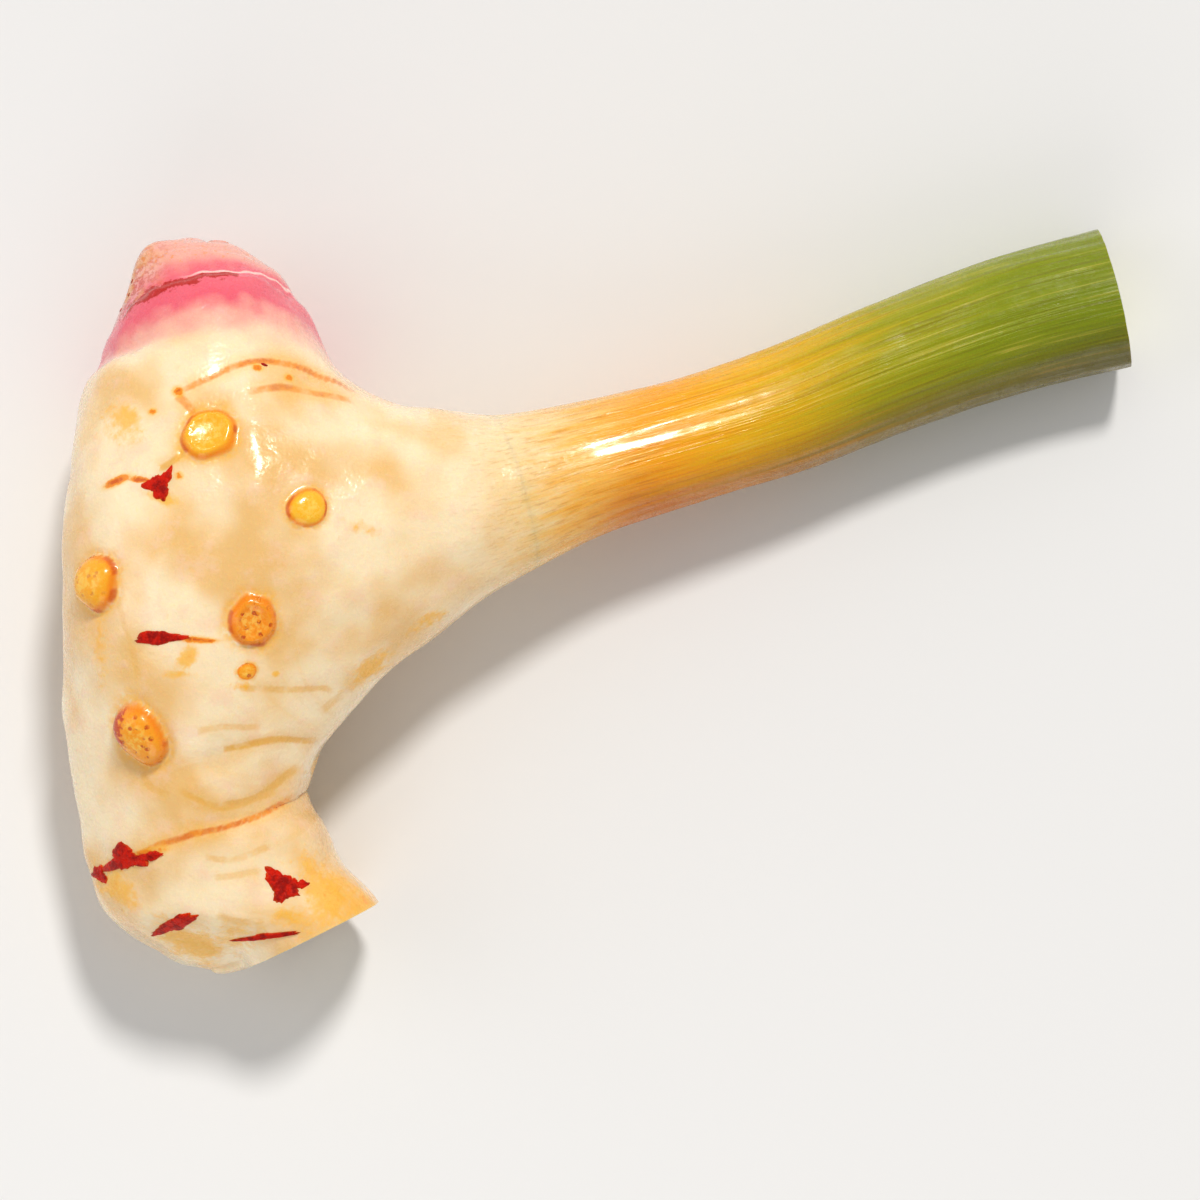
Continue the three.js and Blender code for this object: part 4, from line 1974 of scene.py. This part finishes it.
@dataclass
class TornScales:
    """All the torn scale remains, as one piece.

    Attributes:
        thickness: How far they stand out of the skin, in millimetres.
        root: How far they reach into it, in millimetres.
        around: Vertices round each outline.
        rings: Rings of vertices from the middle to the outline.
    """

    thickness: float = 0.22
    root: float = 0.25
    around: int = 44
    rings: int = 7

    def build(self, skin: Skin, place: Placement) -> bpy.types.Object:
        """Lay every shard onto the skin.

        Args:
            skin: The skin.
            place: Where the root goes.

        Returns:
            The piece.
        """
        tree = BVHTree.FromPolygons(skin.points.tolist(), skin.faces)
        points: list[Array] = []
        faces: list[tuple[int, ...]] = []
        rims: list[float] = []
        for scale in TORN_SCALES:
            self._shard(scale, tree, points, faces, rims)
        at = np.array(points)
        at[:, 2] = np.maximum(at[:, 2], 0.0)
        mesh = bpy.data.meshes.new("torn_scales")
        mesh.from_pydata(place.apply(at).tolist(), [], faces)
        write_attribute(mesh, "skin_mm", at)
        write_attribute(mesh, "rim", np.array(rims))
        for polygon in mesh.polygons:
            polygon.use_smooth = True
        return linked("torn_scales", mesh)

    def _shard(
        self,
        scale: TornScale,
        tree: BVHTree,
        points: list[Array],
        faces: list[tuple[int, ...]],
        rims: list[float],
    ) -> None:
        """Add one shard: a jagged plate that follows the skin.

        Args:
            scale: The shard.
            tree: The skin, ready for rays.
            points: The points so far, which grow.
            faces: The faces so far, which grow.
            rims: How near each point is to its edge, which grows.
        """
        rng = np.random.default_rng(scale.seed)
        outline = scale.outline(self.around)
        start = len(points)
        shares = [0.0] + [k / self.rings for k in range(1, self.rings + 1)]
        for layer in (1.0, -1.0):
            for share in shares:
                ring = outline * share if share else outline[:1] * 0.0
                for offset in ring:
                    spot, normal = self._touch(tree, scale, offset)
                    lift = self._lift(share, rng) if layer > 0 else -self.root
                    points.append(spot + normal * lift)
                    rims.append(share)
        self._plate(faces, start, flip=scale.below)

    def _lift(self, share: float, rng: np.random.Generator) -> float:
        """Curl the plate's edge into the skin, and roughen the rest.

        Args:
            share: How far out the point is, from 0 to 1.
            rng: The source of chance.

        Returns:
            The height above the skin, in millimetres.
        """
        if share > 0.99:
            return -0.05
        return self.thickness * (1.0 - 0.35 * share**3) * rng.uniform(0.85, 1.1)

    def _touch(self, tree: BVHTree, scale: TornScale, offset: Array) -> tuple[Array, Array]:
        """Find the skin under a point of the shard.

        Args:
            tree: The skin, ready for rays.
            scale: The shard.
            offset: The way from the middle, in millimetres.

        Returns:
            The place on the skin and its normal.
        """
        high = -50.0 if scale.below else 80.0
        start = Vector((scale.x + offset[0], scale.y + offset[1], high))
        down = Vector((0.0, 0.0, 1.0 if scale.below else -1.0))
        spot, normal, _, _ = tree.ray_cast(start, down)
        if spot is None:
            spot, normal, _, _ = tree.find_nearest(Vector((start.x, start.y, 12.0)))
        if normal.dot(down) > 0:
            normal = -normal
        return np.array(spot), np.array(normal)

    def _plate(self, faces: list[tuple[int, ...]], start: int, flip: bool) -> None:
        """Join the top, the underside and the edge of one shard.

        Args:
            faces: The faces so far, which grow.
            start: The index of its first point.
            flip: Whether to turn the faces over.
        """
        size = 1 + self.around * self.rings
        made: list[tuple[int, ...]] = []
        for base, turned in ((start, False), (start + size, True)):
            for k in range(self.around):
                following = (k + 1) % self.around
                fan = [(base, base + 1 + k, base + 1 + following)]
                for ring in range(self.rings - 1):
                    low = base + 1 + ring * self.around
                    high = low + self.around
                    fan.append((low + k, high + k, high + following, low + following))
                made += [face[::-1] if turned else face for face in fan]
        outer = start + 1 + (self.rings - 1) * self.around
        for k in range(self.around):
            following = (k + 1) % self.around
            made.append((outer + k, outer + size + k, outer + size + following, outer + following))
        faces += [face[::-1] if flip else face for face in made]

    def dress(self, made: bpy.types.Object, material: bpy.types.Material) -> None:
        """Give the shards their finish and their place in the frame.

        Args:
            made: The object.
            material: The finish.
        """
        made.data.materials.append(material)
        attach(made, ROOT_BODY)


@dataclass
class Specks:
    """Crumbs of dried scale, which gather on the bud and along the node lines.

    Attributes:
        density: How many there are where they are thickest, per square metre.
        size: Their typical radius in metres.
        seed: Fixes where they are.
    """

    density: float = 330000.0
    size: float = 0.00022
    seed: int = 7

    def _tree(self, material: bpy.types.Material) -> bpy.types.NodeTree:
        """Write the geometry nodes that scatter the crumbs.

        Args:
            material: The finish.

        Returns:
            The node tree.
        """
        tree = bpy.data.node_groups.new("scale_crumbs", "GeometryNodeTree")
        panel = tree.interface
        panel.new_socket("Geometry", in_out="INPUT", socket_type="NodeSocketGeometry")
        panel.new_socket("Density", in_out="INPUT", socket_type="NodeSocketFloat")
        panel.new_socket("Size", in_out="INPUT", socket_type="NodeSocketFloat")
        panel.new_socket("Seed", in_out="INPUT", socket_type="NodeSocketInt")
        panel.new_socket("Geometry", in_out="OUTPUT", socket_type="NodeSocketGeometry")

        def add(kind: str, settings: dict, inputs: dict) -> bpy.types.Node:
            """Add a node to the tree.

            Args:
                kind: The node's type.
                settings: Its properties.
                inputs: Its inputs, as links or constants.

            Returns:
                The new node.
            """
            made = tree.nodes.new(kind)
            for key, value in settings.items():
                setattr(made, key, value)
            for key, value in inputs.items():
                if isinstance(value, bpy.types.NodeSocket):
                    tree.links.new(value, made.inputs[key])
                else:
                    made.inputs[key].default_value = value
            return made

        start = add("NodeGroupInput", {}, {})
        where = add("GeometryNodeInputNamedAttribute", {"data_type": "FLOAT"}, {"Name": "crumbs"})
        thick = add(
            "ShaderNodeMath",
            {"operation": "MULTIPLY"},
            {0: where.outputs["Attribute"], 1: start.outputs["Density"]},
        )
        scatter = add(
            "GeometryNodeDistributePointsOnFaces",
            {"distribute_method": "RANDOM"},
            {
                "Mesh": start.outputs["Geometry"],
                "Density": thick.outputs[0],
                "Seed": start.outputs["Seed"],
            },
        )
        crumb = add("GeometryNodeMeshIcoSphere", {}, {"Radius": 1.0, "Subdivisions": 2})
        rough = add("ShaderNodeTexNoise", {}, {"Scale": 1.3, "Detail": 1.0})
        push = add(
            "ShaderNodeVectorMath",
            {"operation": "MULTIPLY_ADD"},
            {0: rough.outputs["Color"], 1: (1.1, 1.1, 0.4), 2: (-0.55, -0.55, -0.2)},
        )
        shaped = add(
            "GeometryNodeSetPosition",
            {},
            {"Geometry": crumb.outputs["Mesh"], "Offset": push.outputs[0]},
        )
        flat = add(
            "GeometryNodeTransform",
            {},
            {"Geometry": shaped.outputs["Geometry"], "Scale": (1.0, 0.6, 0.3)},
        )
        spin = add(
            "FunctionNodeRandomValue",
            {"data_type": "FLOAT"},
            {"Min": 0.35, "Max": 1.9, "Seed": start.outputs["Seed"]},
        )
        scale = add(
            "ShaderNodeMath",
            {"operation": "MULTIPLY"},
            {0: spin.outputs["Value"], 1: start.outputs["Size"]},
        )
        placed = add(
            "GeometryNodeInstanceOnPoints",
            {},
            {
                "Points": scatter.outputs["Points"],
                "Instance": flat.outputs["Geometry"],
                "Rotation": scatter.outputs["Rotation"],
                "Scale": scale.outputs[0],
            },
        )
        real = add("GeometryNodeRealizeInstances", {}, {"Geometry": placed.outputs["Instances"]})
        painted = add(
            "GeometryNodeSetMaterial",
            {},
            {"Geometry": real.outputs["Geometry"], "Material": material},
        )
        end = add("NodeGroupOutput", {}, {})
        tree.links.new(painted.outputs["Geometry"], end.inputs["Geometry"])
        return tree

    @staticmethod
    def thickness(marks: SkinMarks) -> Array:
        """Say where the crumbs gather, from 0 to 1.

        Args:
            marks: The marks on the skin.

        Returns:
            How thick they are at each vertex.
        """
        at = marks.masks["skin_mm"]
        bud = marks.masks["bud_mm"]
        patches = smooth_step(-0.1, 0.7, ripple(at, 3.2, seed=91))
        rim = bump(bud + 3.4, 2.6) * smooth_step(-48.0, -54.0, at[:, 0]) * 0.6
        edge = bump(bud + 0.1, 0.5) * marks.masks["bud_torn"]
        node = bump(marks.masks["node_mm"], 0.5) * marks.masks["node_strength"] * 0.3
        line = bump(marks.masks["crease_mm"], 0.4) * marks.masks["crease_tone"] * 0.25
        return np.clip((rim + edge + node + line) * patches, 0.0, 1.0)

    def build(self, whole: bpy.types.Mesh, material: bpy.types.Material) -> bpy.types.Object:
        """Scatter the crumbs over the whole skin, and keep them as plain mesh.

        Args:
            whole: The whole skin.
            material: The finish.

        Returns:
            The piece.
        """
        ground = linked("crumb_ground", whole.copy())
        modifier = ground.modifiers.new("crumbs", "NODES")
        modifier.node_group = self._tree(material)
        wanted = {"Density": self.density, "Size": self.size, "Seed": self.seed}
        for item in modifier.node_group.interface.items_tree:
            if item.in_out == "INPUT" and item.name in wanted:
                modifier[item.identifier] = wanted[item.name]
        mesh = evaluated_mesh(ground)
        bpy.data.objects.remove(ground)
        flat = np.empty(len(mesh.vertices) * 3)
        mesh.vertices.foreach_get("co", flat)
        at = flat.reshape(-1, 3)
        at[:, 2] = np.maximum(at[:, 2], 0.0)
        mesh.vertices.foreach_set("co", at.ravel())
        for name in [a.name for a in mesh.attributes if a.name in ("skin_mm", "rim")]:
            mesh.attributes.remove(mesh.attributes[name])
        write_attribute(mesh, "skin_mm", at / MM)
        write_attribute(mesh, "rim", np.full(len(mesh.vertices), 0.7))
        for polygon in mesh.polygons:
            polygon.use_smooth = True
        return linked("scale_crumbs", mesh)

    def dress(self, made: bpy.types.Object) -> None:
        """Give the crumbs their place in the frame.

        Args:
            made: The object.
        """
        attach(made, ROOT_BODY)
        log.info("crumbs: %d faces", len(made.data.polygons))


# ------------------------------
# The studio
# ------------------------------


@dataclass(frozen=True)
class Softbox:
    """A square area light that looks at the root."""

    name: str
    place: tuple[float, float, float]
    size: float
    power: float
    colour: Colour = (1.0, 1.0, 1.0)


@dataclass
class Studio:
    """The floor, the lights and the camera.

    Attributes:
        lens: The camera's focal length in millimetres.
        frame_width: How much of the floor the camera sees, in metres.
        floor_half: Half the floor's width, in metres.
        focus_height: The height above the floor at which frame_width is measured, in metres.
        sun_strength: The strength of the main light.
        sun_from: Where the main light comes from.
        sun_width: How wide the main light looks, in degrees.
        softboxes: The weaker lights.
    """

    lens: float = 200.0
    frame_width: float = 0.142
    floor_half: float = 14.0
    focus_height: float = 0.012
    sun_strength: float = 1.65
    sun_from: tuple[float, float, float] = (0.16, 0.54, 0.72)
    sun_width: float = 9.0
    softboxes: tuple[Softbox, ...] = (
        Softbox("fill", (-0.75, 0.1, 0.6), 0.6, 0.9, (0.97, 0.985, 1.0)),
        Softbox("front", (-0.1, -0.8, 0.5), 0.6, 1.2),
    )

    def build(self) -> None:
        """Set everything up."""
        self._floor()
        self._world()
        self._sun()
        for softbox in self.softboxes:
            self._light(softbox)
        self._camera()

    def _floor(self) -> None:
        """Lay the floor."""
        half = self.floor_half
        mesh = bpy.data.meshes.new("floor")
        corners = [(-half, -half, 0.0), (half, -half, 0.0), (half, half, 0.0), (-half, half, 0.0)]
        mesh.from_pydata(corners, [], [(0, 1, 2, 3)])
        floor = linked("floor", mesh)
        floor.data.materials.append(FloorFinish().build())

    def _world(self) -> None:
        """Light the surroundings evenly, and brighten them to the floor's tone at its far edge."""
        world = bpy.data.worlds.new("studio")
        world.use_nodes = True
        tree = world.node_tree
        background = tree.nodes["Background"]
        background.inputs["Color"].default_value = (1.0, 0.99, 0.975, 1.0)
        coords = tree.nodes.new("ShaderNodeTexCoord")
        split = tree.nodes.new("ShaderNodeSeparateXYZ")
        tree.links.new(coords.outputs["Generated"], split.inputs[0])
        fade = tree.nodes.new("ShaderNodeMapRange")
        fade.interpolation_type = "SMOOTHSTEP"
        levels = {"From Min": 0.04, "From Max": 0.42, "To Min": 0.68, "To Max": 0.36}
        for name, level in levels.items():
            fade.inputs[name].default_value = level
        tree.links.new(split.outputs["Z"], fade.inputs["Value"])
        tree.links.new(fade.outputs["Result"], background.inputs["Strength"])
        bpy.context.scene.world = world
        bpy.context.scene.view_settings.view_transform = "Standard"
        bpy.context.scene.view_settings.look = "Medium High Contrast"

    def _sun(self) -> None:
        """Add the main light, which is wide enough for soft shadows."""
        data = bpy.data.lights.new("main_light", "SUN")
        data.energy = self.sun_strength
        data.angle = math.radians(self.sun_width)
        data.color = (1.0, 0.97, 0.93)
        light = bpy.data.objects.new("main_light", data)
        light.location = self.sun_from
        light.rotation_euler = (-Vector(self.sun_from)).to_track_quat("-Z", "Y").to_euler()
        bpy.context.scene.collection.objects.link(light)

    def _light(self, softbox: Softbox) -> None:
        """Hang one softbox.

        Args:
            softbox: The light.
        """
        data = bpy.data.lights.new(softbox.name, "AREA")
        data.shape = "SQUARE"
        data.size = softbox.size
        data.energy = softbox.power
        data.color = softbox.colour
        light = bpy.data.objects.new(softbox.name, data)
        light.location = softbox.place
        aim = Vector((0.0, 0.0, 0.01)) - Vector(softbox.place)
        light.rotation_euler = aim.to_track_quat("-Z", "Y").to_euler()
        light.visible_camera = False
        bpy.context.scene.collection.objects.link(light)

    def _camera(self) -> None:
        """Look straight down on the root."""
        data = bpy.data.cameras.new("camera")
        data.lens = self.lens
        data.sensor_width = 36.0
        data.clip_start = 0.01
        data.clip_end = 60.0
        camera = bpy.data.objects.new("camera", data)
        low, high = CAD_BOX
        height = self.frame_width * self.lens / data.sensor_width + self.focus_height
        camera.location = ((low[0] + high[0]) / 2, (low[1] + high[1]) / 2, height)
        bpy.context.scene.collection.objects.link(camera)
        bpy.context.scene.camera = camera


# ------------------------------
# The root
# ------------------------------


@dataclass
class GalangalRoot:
    """The whole root: form, marks, pieces and finishes."""

    form: RootForm = field(default_factory=RootForm)

    def build(self) -> None:
        """Grow the root and dress it."""
        skin = self.form.build()
        place = Placement(FRAME_SHIFT)
        marks = SkinMarks(skin)
        marks.build()
        whole = self._whole(skin, marks, place)
        finish = SkinFinish().build()
        scale_finish = ScaleFinish().build()
        neck_point, neck_forward = STEM_SWEEP.at_share(NECK_SHARE)
        end_point, end_forward = STEM_SWEEP.at_share(STEM_END_SHARE)
        rhizome = SkinPiece(
            "rhizome_skin",
            "rhizome",
            "rhizome_flesh",
            (
                Cut(FOOT_CUT_POINT, FOOT_CUT_FACES, rings=18, relief=0.16),
                Cut(neck_point, neck_forward, rings=2, relief=0.0, slot=0),
            ),
        )
        stem = SkinPiece(
            "stem_skin",
            "stem",
            "stem_sheath",
            (
                Cut(end_point, end_forward, rings=16, relief=0.3),
                Cut(neck_point, -neck_forward, rings=2, relief=0.0, slot=0),
            ),
        )
        rhizome.dress(rhizome.build(whole, place), (finish, CutFinish().build()))
        stem.dress(stem.build(whole, place), (finish, SheathFinish().build()))
        scales = TornScales()
        scales.dress(scales.build(skin, place), scale_finish)
        specks = Specks()
        specks.dress(specks.build(whole, scale_finish))
        bpy.data.meshes.remove(whole)

    @staticmethod
    def _whole(skin: Skin, marks: SkinMarks, place: Placement) -> bpy.types.Mesh:
        """Store the finished skin, with its marks, as one mesh.

        Args:
            skin: The skin.
            marks: The marks on the skin.
            place: Where the root goes.

        Returns:
            The mesh.
        """
        mesh = bpy.data.meshes.new("whole_skin")
        mesh.from_pydata(place.apply(skin.points).tolist(), [], skin.faces)
        for name, values in marks.masks.items():
            write_attribute(mesh, name, values)
        write_attribute(mesh, "crumbs", Specks.thickness(marks))
        write_attribute(mesh, "cut_at", np.zeros_like(skin.points))
        for polygon in mesh.polygons:
            polygon.use_smooth = True
        return mesh


def main() -> None:
    """Build the root and the studio round it."""
    logging.basicConfig(level=logging.INFO, format="%(name)s: %(message)s")
    GalangalRoot().build()
    Studio().build()


if __name__ == "__main__":
    main()
